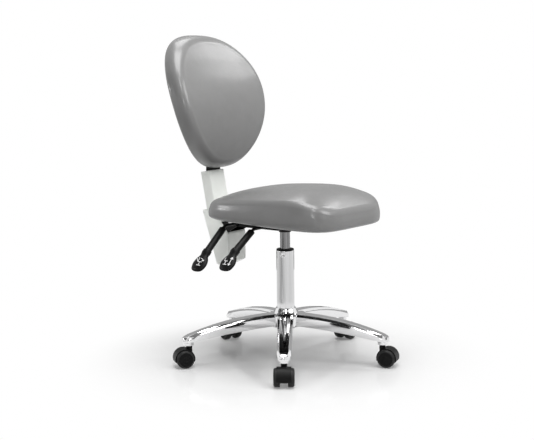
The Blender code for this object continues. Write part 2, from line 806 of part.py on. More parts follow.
def make_seat_bolts():
    """The bolts that hold the pan to the seat board."""
    head_top = PAN_TOP - PAN_SHEET - FIT
    head_bottom = head_top - BOLT_HEAD_HEIGHT
    tip = SEAT_BOARD_BOTTOM + BOLT_IN_BOARD
    for index, (x, y) in enumerate(bolt_places()):
        shape = turned(
            (
                (0.0, head_bottom),
                (BOLT_HEAD_RADIUS - 0.0008, head_bottom),
                (BOLT_HEAD_RADIUS, head_bottom + 0.0008),
                (BOLT_HEAD_RADIUS, head_top),
                (BOLT_RADIUS, head_top),
                (BOLT_RADIUS, tip),
                (0.0, tip),
            ),
            SMALL_STEPS,
        )
        shape.transform(Matrix.Translation((x, y, 0.0)))
        add_piece(f"seat_bolt_{index + 1}", shape, steel, lift_axis)


def swept_in_xz(path, y):
    """A body along an (x, z) path at one y, with an oval of (half width, half thickness) at each point."""
    rings = []
    for index, (x, z, half_width, half_thickness) in enumerate(path):
        before = path[max(index - 1, 0)]
        after = path[min(index + 1, len(path) - 1)]
        along = Vector((after[0] - before[0], after[1] - before[1])).normalized()
        ring = []
        for step in range(OVAL_STEPS):
            angle = 2 * math.pi * (step + 0.5) / OVAL_STEPS
            out = half_thickness * math.sin(angle)
            ring.append((x - along.y * out, y + half_width * math.cos(angle), z + along.x * out))
        rings.append(ring)
    return lofted(rings)


def lever_bend(bend_x, slope, radius):
    """Points of the rod's round bend, from level to the slope, as (x, z)."""
    turn = math.radians(slope)
    steps = 4
    start_x = bend_x + radius * math.tan(turn / 2)
    points = []
    for step in range(steps + 1):
        angle = turn * step / steps
        points.append((start_x - radius * math.sin(angle), LEVER_Z - radius * (1.0 - math.cos(angle))))
    return points


def make_lever(name, y, pivot_x, bend_x, slope, bar, paddle_turn, inner_path, axis):
    """A hand lever: a bent steel rod on a pin, and a moulded grip that ends in a paddle."""
    down = Vector((-math.cos(math.radians(slope)), -math.sin(math.radians(slope))))
    bend = lever_bend(bend_x, slope, LEVER_BEND_RADIUS)
    corner = Vector((bend_x, LEVER_Z))
    collar = corner + down * bar
    rod_end = corner + down * (bar - 0.006)
    rod = LEVER_ROD_RADIUS
    path = inner_path + [(x, z, rod, rod) for x, z in bend] + [(rod_end.x, rod_end.y, rod, rod)]
    rod_piece = add_piece(f"{name}_lever_rod", swept_in_xz(path, y), black_steel, axis)
    reach = LEVER_ROD_RADIUS + EAR_GAP + EAR_THICKNESS
    centre = (pivot_x, y, LEVER_Z)
    pin_hole = rod_along("Y", centre, running_hole(LEVER_PIN_RADIUS), -reach, reach)
    combine(rod_piece, "DIFFERENCE", add_tool(f"{name}_rod_hole", pin_hole, axis))
    pin = rod_along("Y", centre, LEVER_PIN_RADIUS, -reach - 0.001, reach + 0.001)
    add_piece(f"{name}_lever_pin", pin, steel, lift_axis)

    sleeve_start = corner + down * (LEVER_BEND_RADIUS * math.tan(math.radians(slope / 2)) + 0.004)
    droop = math.radians(slope + paddle_turn)
    paddle_down = Vector((-math.cos(droop), -math.sin(droop)))
    sleeve = (SLEEVE_WIDTH / 2, SLEEVE_THICKNESS / 2)
    ridge = corner + down * (bar - 0.010)
    grip = [
        (sleeve_start.x, sleeve_start.y, *sleeve),
        (ridge.x, ridge.y, *sleeve),
        (ridge.x + down.x * 0.001, ridge.y + down.y * 0.001, sleeve[0] + 0.0025, sleeve[1] + 0.0018),
        (collar.x, collar.y, sleeve[0] + 0.0030, sleeve[1] + 0.0022),
    ]
    for share, width, thickness in (
        (0.16, 0.55, 0.90),
        (0.36, 0.84, 1.00),
        (0.58, 1.00, 1.00),
        (0.78, 0.93, 0.90),
        (0.93, 0.74, 0.66),
        (1.00, 0.40, 0.28),
    ):
        point = collar + paddle_down * (PADDLE_LENGTH * share)
        grip.append((point.x, point.y, PADDLE_WIDTH / 2 * width, PADDLE_THICKNESS / 2 * thickness))
    grip_piece = add_piece(f"{name}_lever_grip", swept_in_xz(grip, y), black_plastic, axis)
    bore_radius = LEVER_ROD_RADIUS + FIT
    bore_start = corner + down * (LEVER_BEND_RADIUS * math.tan(math.radians(slope / 2)))
    bore_end = corner + down * (bar - 0.006 + FIT)
    bore = swept_in_xz(
        [(bore_start.x, bore_start.y, bore_radius, bore_radius), (bore_end.x, bore_end.y, bore_radius, bore_radius)], y
    )
    combine(grip_piece, "DIFFERENCE", add_tool(f"{name}_grip_bore", bore, axis))


def make_levers():
    """The front lever, which presses the lift's valve, and the rear lever, which frees the back."""
    rod = LEVER_ROD_RADIUS
    flat = TONGUE_THICKNESS / 2
    ramp_top = HEIGHT_PIVOT_X + 0.024
    ramp_foot = HEIGHT_PIVOT_X + 0.010
    tongue = [
        (TONGUE_X, TONGUE_Z, TONGUE_HALF_WIDTH, flat),
        (ramp_top, TONGUE_Z, TONGUE_HALF_WIDTH * 0.8, flat),
        (ramp_foot, LEVER_Z, rod, rod),
        (HEIGHT_PIVOT_X, LEVER_Z, rod, rod),
    ]
    make_lever(
        "height",
        HEIGHT_LEVER_Y,
        HEIGHT_PIVOT_X,
        HEIGHT_LEVER_BEND_X,
        HEIGHT_LEVER_SLOPE,
        HEIGHT_LEVER_BAR,
        HEIGHT_PADDLE_TURN,
        tongue,
        height_lever_axis,
    )
    stub = [(TILT_LEVER_INNER_X, LEVER_Z, rod, rod), (TILT_PIVOT_X, LEVER_Z, rod, rod)]
    make_lever(
        "tilt",
        TILT_LEVER_Y,
        TILT_PIVOT_X,
        TILT_LEVER_BEND_X,
        TILT_LEVER_SLOPE,
        TILT_LEVER_BAR,
        TILT_PADDLE_TURN,
        stub,
        tilt_lever_axis,
    )


def make_tilt_pivot():
    """The riveted shaft that carries the back bar, with a spacer bush on each side."""
    end = PAN_HALF_WIDTH + FIT
    profile = (
        (0.0, -end - TILT_HEAD),
        (TILT_HEAD_RADIUS, -end - TILT_HEAD),
        (TILT_HEAD_RADIUS, -end),
        (TILT_SHAFT_RADIUS, -end),
        (TILT_SHAFT_RADIUS, end),
        (TILT_HEAD_RADIUS, end),
        (TILT_HEAD_RADIUS, end + TILT_HEAD),
        (0.0, end + TILT_HEAD),
    )
    lay_along_x = Matrix.Translation((0, TILT_Y, TILT_Z)) @ Matrix.Rotation(math.pi / 2, 4, "Y")
    shaft = turned(profile, SMALL_STEPS)
    shaft.transform(lay_along_x)
    add_piece("tilt_shaft", shaft, steel, lift_axis)
    inner = ARM_HALF_WIDTH + FIT
    outer = PAN_HALF_WIDTH - PAN_SHEET - FIT
    for side, low, high in (("left", inner, outer), ("right", -outer, -inner)):
        bush = turned(
            (
                (TILT_SHAFT_RADIUS + RUN, low),
                (TILT_BUSH_RADIUS, low),
                (TILT_BUSH_RADIUS, high),
                (TILT_SHAFT_RADIUS + RUN, high),
            ),
            SMALL_STEPS,
        )
        bush.transform(lay_along_x)
        add_piece(f"tilt_bush_{side}", bush, black_plastic, lift_axis)


def on_upright(across, behind, along):
    """A point in the upright's own space: across the chair, behind its middle plane and up its lean."""
    return UPRIGHT_FOOT + Vector((across, 0, 0)) + BEHIND_THE_BACK * behind + UP_THE_BACK * along


def upright_block(half_width, front, rear, low, high):
    """A block square to the upright."""
    corners = ((-half_width, front), (half_width, front), (half_width, rear), (-half_width, rear))
    return lofted([[on_upright(x, behind, along) for x, behind in corners] for along in (low, high)])


def make_back_bar():
    """The arm that turns on the tilt shaft, a pressed channel, and the upright that the back slides on."""
    foot = on_upright(0, BAR_FRONT, -BAR_FOOT_DROP)
    heel = on_upright(0, BAR_FRONT + UPRIGHT_THICKNESS, -BAR_HEEL_DROP)
    outline = [
        (TILT_Y, TILT_Z + BARREL_RADIUS),
        (LOWER_COVER_FRONT_Y, TILT_Z - 0.002),
        (foot.y - 0.022, foot.z + 0.006),
        (foot.y, foot.z),
        (heel.y, heel.z),
        (foot.y - 0.016, heel.z - 0.002),
        (LOWER_COVER_FRONT_Y + 0.002, LOWER_COVER_FRONT_TOP + 0.0045),
        (TILT_Y + 0.014, TILT_Z - 0.022),
        (TILT_Y, TILT_Z - BARREL_RADIUS),
    ]
    bar = add_piece("back_bar", through_x(outline, ARM_HALF_WIDTH), black_steel, back_axis)
    barrel = rod_along("X", (0, TILT_Y, TILT_Z), BARREL_RADIUS, -ARM_HALF_WIDTH, ARM_HALF_WIDTH, SMALL_STEPS)
    combine(bar, "UNION", add_tool("barrel", barrel, back_axis))
    channel = [
        (TILT_Y + BARREL_RADIUS + 0.002, TILT_Z - BARREL_RADIUS + ARM_SHEET + 0.010),
        (LOWER_COVER_FRONT_Y, TILT_Z - 0.002 - ARM_SHEET),
        (foot.y - 0.024, foot.z + 0.006 - ARM_SHEET),
        (foot.y - ARM_SHEET, foot.z - ARM_SHEET),
        (heel.y - UPRIGHT_THICKNESS - ARM_SHEET, heel.z - 0.02),
        (LOWER_COVER_FRONT_Y, LOWER_COVER_FRONT_TOP - 0.03),
        (TILT_Y + BARREL_RADIUS + 0.002, TILT_Z - 0.045),
    ]
    hollow = through_x(channel, ARM_HALF_WIDTH - ARM_SHEET)
    combine(bar, "DIFFERENCE", add_tool("arm_channel", hollow, back_axis))
    bar_rear = BAR_FRONT + UPRIGHT_THICKNESS
    upright = upright_block(UPRIGHT_WIDTH / 2, BAR_FRONT, bar_rear, -BAR_LAP_DROP, UPRIGHT_TOP)
    combine(bar, "UNION", add_tool("upright", upright, back_axis))
    reach = ARM_HALF_WIDTH + 0.01
    bore = rod_along("X", (0, TILT_Y, TILT_Z), running_hole(TILT_SHAFT_RADIUS), -reach, reach)
    combine(bar, "DIFFERENCE", add_tool("barrel_bore", bore, back_axis))


def lower_cover_rear(height):
    """The rear face of the lower cover at a height."""
    share = (height - LOWER_COVER_BOTTOM) / (LOWER_COVER_TOP - LOWER_COVER_BOTTOM)
    return LOWER_COVER_REAR_Y + (LOWER_COVER_REAR_TOP_Y - LOWER_COVER_REAR_Y) * share


def make_lower_cover():
    """The white scoop round the bend of the bar, open above and towards the seat."""
    rear_foot = LOWER_COVER_BOTTOM + 0.003
    outline = [
        (LOWER_COVER_FRONT_Y, LOWER_COVER_FRONT_TOP),
        (LOWER_COVER_FRONT_Y, LOWER_COVER_FRONT_BOTTOM),
        (LOWER_COVER_KEEL_Y, LOWER_COVER_BOTTOM),
        (lower_cover_rear(rear_foot), rear_foot),
        (lower_cover_rear(LOWER_COVER_TOP), LOWER_COVER_TOP),
        (lower_cover_rear(LOWER_COVER_TOP) - LOWER_COVER_MOUTH, LOWER_COVER_TOP),
    ]
    cover = add_piece("lower_cover", through_x(outline, LOWER_COVER_WIDTH / 2), white_plastic, back_axis)
    edge = cover.modifiers.new("rounded edges", "BEVEL")
    edge.width = COVER_EDGE
    edge.segments = 2
    edge.limit_method = "ANGLE"
    above = LOWER_COVER_TOP + 0.02
    inside = [
        (LOWER_COVER_FRONT_Y + COVER_WALL, LOWER_COVER_FRONT_BOTTOM + COVER_WALL),
        (LOWER_COVER_KEEL_Y, LOWER_COVER_BOTTOM + COVER_WALL),
        (lower_cover_rear(rear_foot) - COVER_WALL, rear_foot + COVER_WALL),
        (lower_cover_rear(above) - COVER_WALL, above),
        (LOWER_COVER_FRONT_Y + COVER_WALL, above),
    ]
    hollow = through_x(inside, LOWER_COVER_WIDTH / 2 - COVER_WALL)
    combine(cover, "DIFFERENCE", add_tool("lower_cover_hollow", hollow, back_axis))


def make_upper_cover():
    """The white sleeve that hides the ratchet and slides in the lower cover."""
    half_width = UPPER_COVER_WIDTH / 2
    half_depth = UPPER_COVER_DEPTH / 2

    def ring(inset, along):
        corner = max(COVER_EDGE - inset, 0.001)
        outline = rounded_rectangle(half_width - inset, half_depth - inset, corner)
        return [on_upright(x, behind, along) for x, behind in outline]

    cover = add_piece(
        "upper_cover",
        lofted(
            [
                ring(COVER_WALL, UPPER_COVER_HIGH - COVER_WALL),
                ring(COVER_WALL, UPPER_COVER_LOW),
                ring(0.0, UPPER_COVER_LOW),
                ring(0.0, UPPER_COVER_HIGH - 0.0015),
                ring(0.0015, UPPER_COVER_HIGH),
            ]
        ),
        white_plastic,
        back_height_axis,
    )
    half_plate = BACK_PLATE_THICKNESS / 2 + FIT * 2
    slot = upright_block(
        BACK_PLATE_WIDTH / 2 + FIT, TAIL_MIDDLE - half_plate, TAIL_MIDDLE + half_plate, UPPER_COVER_HIGH - 0.006,
        UPPER_COVER_HIGH + 0.006,
    )
    combine(cover, "DIFFERENCE", add_tool("plate_slot", slot, back_height_axis))


def make_ratchet():
    """The sleeve that holds the plate's tail to the upright."""
    half_width = UPPER_COVER_WIDTH / 2 - COVER_WALL - FIT
    sleeve = upright_block(half_width, -RATCHET_DEPTH / 2, RATCHET_DEPTH / 2, RATCHET_LOW, RATCHET_HIGH)
    ratchet = add_piece("height_ratchet", sleeve, black_plastic, back_height_axis)
    slot = upright_block(
        UPRIGHT_WIDTH / 2 + FIT,
        TAIL_MIDDLE - BACK_PLATE_THICKNESS / 2 - FIT,
        BAR_FRONT + UPRIGHT_THICKNESS + FIT,
        RATCHET_LOW - 0.01,
        RATCHET_HIGH + 0.01,
    )
    combine(ratchet, "DIFFERENCE", add_tool("ratchet_slot", slot, back_height_axis))


def back_front(height):
    """The front of the backrest at a height: bowed about the lumbar line, straight near the top."""
    rise = height - BACK_LUMBAR_Z
    bowed = min(rise, BACK_STRAIGHT_Z - BACK_LUMBAR_Z)
    slope = bowed / BACK_BEND_RADIUS
    return BACK_FRONT_Y + slope * bowed / 2 + slope * (rise - bowed)


def back_point(x, height, depth):
    """A point straight behind the backrest's front face."""
    return (x, back_front(height) + depth, height)


def back_outline(angle, inset, depth):
    """A point (x, height) of the egg-shaped outline, which widens towards the rear."""
    drawn_in = inset - BACK_FLARE * depth / BACK_THICKNESS
    rise = math.copysign(abs(math.sin(angle)) ** BACK_END_FULLNESS, math.sin(angle))
    side = math.copysign(abs(math.cos(angle)) ** BACK_SIDE_FULLNESS, math.cos(angle))
    x = (BACK_HALF_WIDTH - drawn_in) * side * (1.0 + BACK_EGG * rise - BACK_WAIST * rise**2)
    return x, (BACK_HALF_HEIGHT - drawn_in) * rise


def back_ring(inset, depth, share=1.0, crown=0.0):
    """A ring round the backrest, drawn in from its outline and shrunk to a share of what is left."""
    ring = []
    for index in range(BACK_POINTS):
        x, rise = back_outline(2 * math.pi * (index + 0.5) / BACK_POINTS, inset, depth)
        ring.append(back_point(x * share, BACK_CENTRE_Z + rise * share, depth - crown))
    return ring


def back_cap(inset, shares, depth, crown):
    """Rings between a rim and the middle of a face, swollen towards the front by the crown."""
    return [back_ring(inset, depth, share, crown * (1.0 - share**2)) for share in shares]


def back_sheet(inset, front, rear):
    """A bent sheet of the backrest's outline between two depths, built in rows that are straight across."""
    rows = []
    for row in range(BACK_ROWS + 1):
        half, rise = back_outline(math.radians(-85.0 + 170.0 * row / BACK_ROWS), inset, BACK_THICKNESS)
        corners = ((-half, front), (half, front), (half, rear), (-half, rear))
        rows.append([back_point(x, BACK_CENTRE_Z + rise, depth) for x, depth in corners])
    return lofted(rows)


def make_backrest():
    """The egg-shaped cushion, its board, and the steel strip that carries them."""
    front = back_cap(0.014, (0.0001, 0.3, 0.55, 0.78, 0.93, 1.0), 0.002, BACK_CROWN)
    sides = [
        back_ring(0.0055, 0.0065),
        back_ring(0.0012, 0.0145),
        back_ring(0.0, 0.025),
        back_ring(0.0010, 0.036),
        back_ring(0.0030, BACK_THICKNESS - 0.007),
        back_ring(0.0075, BACK_THICKNESS - 0.001),
        back_ring(BACK_RIM - 0.004, BACK_THICKNESS),
    ]
    rear = back_cap(BACK_RIM - 0.004, (0.5, 0.0001), BACK_THICKNESS, 0.0)
    cushion = add_piece("back_cushion", lofted(front + sides + rear), leather, back_height_axis, 60.0)
    board_front = BACK_THICKNESS - BACK_BOARD_THICKNESS
    pocket = back_sheet(BACK_RIM, board_front - FIT, BACK_THICKNESS + 0.01)
    combine(cushion, "DIFFERENCE", add_tool("board_pocket", pocket, back_height_axis))
    sheet = back_sheet(BACK_RIM + FIT, board_front, BACK_THICKNESS)
    board = add_piece("back_board", sheet, leather, back_height_axis)

    half = BACK_PLATE_THICKNESS / 2
    tail_half_width = UPRIGHT_WIDTH / 2 - FIT
    path = [
        (on_upright(0, TAIL_MIDDLE, RATCHET_LOW), tail_half_width),
        (on_upright(0, TAIL_MIDDLE, RATCHET_HIGH + 0.001), tail_half_width),
        (on_upright(0, TAIL_MIDDLE, RATCHET_HIGH + 0.0014), BACK_PLATE_WIDTH / 2),
        (on_upright(0, TAIL_MIDDLE, UPPER_COVER_HIGH + 0.003), BACK_PLATE_WIDTH / 2),
    ]
    for height, gap in ((BACK_FOOT_Z, 0.0040), (BACK_PLATE_BENDS, 0.0015)):
        path.append((Vector(back_point(0.0, height, BACK_THICKNESS + gap + half)), BACK_PLATE_WIDTH / 2))
    stretch = 5
    for step in range(stretch + 1):
        height = BACK_PLATE_MEETS + (BACK_PLATE_TOP - BACK_PLATE_MEETS) * step / stretch
        path.append((Vector(back_point(0.0, height, BACK_THICKNESS + FIT * 2 + half)), BACK_PLATE_WIDTH / 2))
    rings = []
    for index, (middle, half_width) in enumerate(path):
        before = path[max(index - 1, 0)][0]
        after = path[min(index + 1, len(path) - 1)][0]
        along = (after - before).normalized()
        behind = Vector((0.0, along.z, -along.y)) * half
        rings.append(
            [
                middle - behind + Vector((-half_width, 0, 0)),
                middle - behind + Vector((half_width, 0, 0)),
                middle + behind + Vector((half_width, 0, 0)),
                middle + behind + Vector((-half_width, 0, 0)),
            ]
        )
    plate = add_piece("back_plate", lofted(rings), black_steel, back_height_axis)

    plate_rear = BACK_THICKNESS + FIT * 2 + BACK_PLATE_THICKNESS
    tip = BACK_THICKNESS - SCREW_IN_BOARD
    head = plate_rear + FIT * 2
    for index, height in enumerate(BACK_SCREW_HEIGHTS):
        foot = Vector(back_point(0.0, height, 0.0))
        out = (Vector(back_point(0.0, height, 1.0)) - foot).normalized()
        lay = Matrix.Translation(foot) @ out.to_track_quat("Z", "Y").to_matrix().to_4x4()
        screw = turned(
            (
                (0.0, tip),
                (SCREW_RADIUS, tip),
                (SCREW_RADIUS, head),
                (SCREW_HEAD_RADIUS, head),
                (SCREW_HEAD_RADIUS * 0.8, head + SCREW_HEAD * 0.7),
                (0.0, head + SCREW_HEAD),
            ),
            SMALL_STEPS,
        )
        screw.transform(lay)
        add_piece(f"back_screw_{index + 1}", screw, steel, back_height_axis)
        radius = SCREW_RADIUS + FIT
        hole = turned(((0.0, tip - FIT), (radius, tip - FIT), (radius, head + 0.004), (0.0, head + 0.004)), SMALL_STEPS)
        hole.transform(lay)
        tool = add_tool(f"screw_hole_{index + 1}", hole, back_height_axis)
        combine(board, "DIFFERENCE", tool)
        combine(plate, "DIFFERENCE", tool)


def seat_outline(inset):
    """The seat's plan, a softened rectangle, drawn in by an inset."""
    points = []
    for index in range(SEAT_POINTS):
        angle = 2 * math.pi * (index + 0.5) / SEAT_POINTS
        x = math.copysign(abs(math.cos(angle)) ** (2 / SEAT_SQUARENESS), math.cos(angle))
        y = math.copysign(abs(math.sin(angle)) ** (2 / SEAT_SQUARENESS), math.sin(angle))
        points.append(((SEAT_HALF_WIDTH - inset) * x, SEAT_MIDDLE_Y + (SEAT_HALF_LENGTH - inset) * y))
    return points


def seat_low(y):
    """The height of the upholstery's lower edge, which rises towards the rear."""
    return SEAT_BOTTOM + SEAT_PITCH * (y - SEAT_MIDDLE_Y)


def seat_fall(fall, start, reach):
    """How far the sat-on face has dropped at a reach from its middle, when the drop begins at a start."""
    return fall * max(0.0, (reach - start) / (1.0 - start)) ** 2


def seat_top(x, y):
    """The height of the sat-on face: a crown that falls all round, and further at the front and at the rear."""
    across = abs(x) / SEAT_HALF_WIDTH
    along = (y - SEAT_MIDDLE_Y) / SEAT_HALF_LENGTH
    reach = (across**SEAT_SQUARENESS + abs(along) ** SEAT_SQUARENESS) ** (1.0 / SEAT_SQUARENESS)
    fall = SEAT_CROWN * reach**SEAT_CROWN_POWER
    fall += seat_fall(SEAT_FRONT_FALL, SEAT_FRONT_FALL_START, -along)
    fall += seat_fall(SEAT_REAR_FALL, SEAT_REAR_FALL_START, along)
    return SEAT_TOP + SEAT_TOP_PITCH * (y - SEAT_MIDDLE_Y) - fall


def seat_flat_ring(inset, height):
    """A level ring round the seat."""
    return [(x, y, height) for x, y in seat_outline(inset)]


def seat_ring(inset, share):
    """A ring round the side, at a share of the way from the lower edge up to the start of the roll."""
    ring = []
    for x, y in seat_outline(inset):
        low = seat_low(y)
        ring.append((x, y, low + (seat_top(x, y) - SEAT_ROLL_HEIGHT - low) * share))
    return ring


def seat_roll_ring(degrees):
    """A ring on the roll between the side and the sat-on face."""
    inset = SEAT_ROLL_WIDTH * (1.0 - math.cos(math.radians(degrees)))
    drop = SEAT_ROLL_HEIGHT * (1.0 - math.sin(math.radians(degrees)))
    return [(x, y, seat_top(x, y) - drop) for x, y in seat_outline(inset)]


def seat_top_middle(share):
    """A ring of the sat-on face inside the roll, shrunk to a share of its size."""
    ring = []
    for x, y in seat_outline(SEAT_ROLL_WIDTH):
        inner_x = x * share
        inner_y = SEAT_MIDDLE_Y + (y - SEAT_MIDDLE_Y) * share
        ring.append((inner_x, inner_y, seat_top(inner_x, inner_y)))
    return ring


def shrunk(ring, share):
    """A flat ring drawn towards the seat's middle."""
    return [(x * share, SEAT_MIDDLE_Y + (y - SEAT_MIDDLE_Y) * share, z) for x, y, z in ring]


def make_seat():
    """The seat cushion with its rolled edge, and the board in the pocket below it."""
    ceiling = SEAT_BOARD_TOP + FIT
    pocket = seat_flat_ring(SEAT_RIM, ceiling)
    rings = [
        shrunk(pocket, 0.0001),
        pocket,
        seat_ring(SEAT_RIM, 0.04),
        seat_ring(SEAT_RIM - 0.003, 0.0),
        seat_ring(0.010, 0.0),
        seat_ring(0.0035, 0.25),
        seat_ring(0.0005, 0.60),
    ]
    rings += [seat_roll_ring(degrees) for degrees in (0.0, 24.0, 46.0, 68.0, 90.0)]
    rings += [seat_top_middle(share) for share in (0.94, 0.85, 0.70, 0.45, 0.0001)]
    add_piece("seat_cushion", lofted(rings), leather, lift_axis, 60.0)
    edge = seat_flat_ring(SEAT_RIM + FIT, SEAT_BOARD_BOTTOM)
    top = seat_flat_ring(SEAT_RIM + FIT, SEAT_BOARD_TOP)
    board = add_piece("seat_board", lofted([edge, top]), wood, lift_axis)
    for index, (x, y) in enumerate(bolt_places()):
        combine(board, "DIFFERENCE", add_tool(f"board_hole_{index + 1}", bolt_hole(x, y), lift_axis))


def make_hood_mesh():
    """The hood of a caster, trailing towards +X, with its stem axis on Z."""
    arc = []
    arc_steps = 11
    for step in range(arc_steps + 1):
        angle = math.radians(-14.0 + 208.0 * step / arc_steps)
        arc.append((CASTER_TRAIL + HOOD_RADIUS * math.cos(angle), WHEEL_RADIUS + HOOD_RADIUS * math.sin(angle)))
    arc.append((CASTER_TRAIL - 0.009, WHEEL_RADIUS - 0.014))
    arc.append((CASTER_TRAIL + 0.009, WHEEL_RADIUS - 0.014))
    dome = lofted([[(x, y, z) for x, z in arc] for y in (-HOOD_WIDTH / 2, HOOD_WIDTH / 2)])
    hood = add_piece("hood_pattern", dome, black_plastic)
    neck_profile = (
        (0.0, WHEEL_RADIUS),
        (NECK_RADIUS, WHEEL_RADIUS),
        (NECK_RADIUS, HOOD_TOP - 0.001),
        (NECK_RADIUS - 0.001, HOOD_TOP),
        (0.0, HOOD_TOP),
    )
    tools = [add_tool("hood_neck", turned(neck_profile, SMALL_STEPS))]
    combine(hood, "UNION", tools[0])
    axle_place = (CASTER_TRAIL, 0.0, WHEEL_RADIUS)
    for side in (-1, 1):
        near = side * WEB_HALF_WIDTH
        far = side * (HOOD_WIDTH / 2 + 0.01)
        room = rod_along("Y", axle_place, HOOD_INSIDE, min(near, far), max(near, far), 22)
        tools.append(add_tool(f"wheel_room_{side}", room))
        combine(hood, "DIFFERENCE", tools[-1])
    hole = running_hole(STEM_RADIUS)
    stem_bottom = HOOD_TOP - STEM_IN_HOOD - FIT
    stem_hole = ((0.0, stem_bottom), (hole, stem_bottom), (hole, HOOD_TOP + 0.01), (0.0, HOOD_TOP + 0.01))
    tools.append(add_tool("hood_stem_hole", turned(stem_hole, SMALL_STEPS)))
    combine(hood, "DIFFERENCE", tools[-1])
    axle_hole = rod_along("Y", axle_place, AXLE_RADIUS + RUN, -HOOD_WIDTH, HOOD_WIDTH)
    tools.append(add_tool("hood_axle_hole", axle_hole))
    combine(hood, "DIFFERENCE", tools[-1])
    mesh = evaluated_mesh(hood, "caster_hood")
    for tool in tools:
        bpy.data.objects.remove(tool, do_unlink=True)
    return mesh


def make_wheel_mesh():
    """A wheel on the +Y side of its caster, about its own centre, with a flat of the tread facing down."""
    grow = 1.0 / math.cos(math.pi / WHEEL_STEPS)
    inner = WHEEL_GAP / 2
    outer = inner + WHEEL_WIDTH
    bore_end = inner + AXLE_GRIP + FIT
    bore = AXLE_RADIUS + RUN
    profile = (
        (0.0, bore_end),
        (bore, bore_end),
        (bore, inner),
        (WHEEL_RADIUS, inner),
        (WHEEL_RADIUS, outer - WHEEL_WIDTH * 0.4),
        (WHEEL_RADIUS * 0.94, outer - WHEEL_WIDTH * 0.12),
        (WHEEL_RADIUS * 0.82, outer),
        (WHEEL_RADIUS * 0.72, outer),
        (WHEEL_RADIUS * 0.69, outer - 0.0011),
        (0.0, outer - 0.0011),
    )
    wheel = turned([(radius * grow, height) for radius, height in profile], WHEEL_STEPS)
    wheel.transform(Matrix.Rotation(math.pi / WHEEL_STEPS, 4, "Z"))
    wheel.transform(Matrix.Rotation(-math.pi / 2, 4, "X"))
    return finished_mesh("wheel", wheel, wheel_plastic)


def make_casters():
    """Five casters, all trailing outwards along their legs."""
    hood_mesh = make_hood_mesh()
    wheel_mesh = make_wheel_mesh()
    stem_profile = (
        (0.0, HOOD_TOP - STEM_IN_HOOD),
        (STEM_RADIUS, HOOD_TOP - STEM_IN_HOOD),
        (STEM_RADIUS, BOSS_BOTTOM + STEM_IN_LEG),
        (0.0, BOSS_BOTTOM + STEM_IN_LEG),
    )
    stem_mesh = finished_mesh("caster_stem", turned(stem_profile, SMALL_STEPS), steel)
    axle_reach = WHEEL_GAP / 2 + AXLE_GRIP
    axle_mesh = finished_mesh("caster_axle", rod_along("Y", (0, 0, 0), AXLE_RADIUS, -axle_reach, axle_reach), steel)
    for index in range(LEG_COUNT):
        number = index + 1
        heading = heading_of_leg(index)
        place = (CASTER_CIRCLE * math.cos(heading), CASTER_CIRCLE * math.sin(heading), 0.0)
        swivel = add_axis(f"caster_swivel_{number}", place, None, heading)
        roll = add_axis(f"wheel_roll_{number}", (CASTER_TRAIL, 0.0, WHEEL_RADIUS), swivel)
        place_mesh(f"caster_stem_{number}", stem_mesh, swivel)
        place_mesh(f"caster_hood_{number}", hood_mesh, swivel)
        place_mesh(f"caster_axle_{number}", axle_mesh, roll)
        place_mesh(f"wheel_left_{number}", wheel_mesh, roll)
        right = place_mesh(f"wheel_right_{number}", wheel_mesh, roll)
        right.rotation_euler = (0.0, 0.0, math.pi)


for old in list(bpy.data.objects):
    bpy.data.objects.remove(old, do_unlink=True)

tool_finish = make_finish("tool", (0.8, 0.3, 0.1), 0.8, 0.0)
polished = make_finish("polished_aluminium", (0.75, 0.75, 0.76), 0.12, 1.0)
chrome = make_finish("chrome", (0.72, 0.72, 0.73), 0.10, 1.0)
steel = make_finish("steel", (0.55, 0.55, 0.56), 0.30, 1.0)
black_steel = make_finish("black_painted_steel", (0.012, 0.012, 0.013), 0.45, 0.0)
black_plastic = make_finish("black_plastic", (0.010, 0.010, 0.011), 0.42, 0.0)
wheel_plastic = make_finish("wheel_plastic", (0.014, 0.014, 0.015), 0.38, 0.0)
white_plastic = make_finish("white_plastic", (0.80, 0.82, 0.79), 0.40, 0.0)
rubber = make_finish("rubber", (0.02, 0.02, 0.02), 0.70, 0.0)
leather = make_finish("grey_leather", (0.20, 0.20, 0.20), 0.38, 0.0)
wood = make_finish("plywood", (0.50, 0.36, 0.22), 0.65, 0.0)

swivel_axis = add_axis("swivel_axis", (0.0, 0.0, 0.0))
lift_axis = add_axis("lift_axis", (0.0, 0.0, 0.0), swivel_axis)
valve_axis = add_axis("valve_axis", (0.0, 0.0, 0.0), lift_axis)
height_lever_axis = add_axis("height_lever_axis", (HEIGHT_PIVOT_X, HEIGHT_LEVER_Y, LEVER_Z), lift_axis)
tilt_lever_axis = add_axis("tilt_lever_axis", (TILT_PIVOT_X, TILT_LEVER_Y, LEVER_Z), lift_axis)
back_axis = add_axis("back_axis", (0.0, TILT_Y, TILT_Z), lift_axis)
back_height_axis = add_axis("back_height_axis", UPRIGHT_FOOT - places["back_axis"], back_axis)
places["back_height_axis"] = UPRIGHT_FOOT

make_star_base()
make_column()
make_lift()
make_pan()
make_seat_bolts()
make_levers()
make_tilt_pivot()
make_back_bar()
make_lower_cover()
make_upper_cover()
make_ratchet()
make_backrest()
make_seat()
make_casters()
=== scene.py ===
# %% [markdown]
# # A doctor chair, dressed for its portrait
#
# The chair's hard parts come ready made as a frame of named pieces. This lesson adds what the frame lacks:
# upholstery, moulded grips, turned wheels, a good finish for every surface, and a small studio.
# The frame's pieces stay where they are. A soft or coarse one is hidden, and a finer piece stands for it.

import json
import math

import bmesh
import bpy
import numpy as np
from mathutils import Matrix, Vector
from mathutils.bvhtree import BVHTree


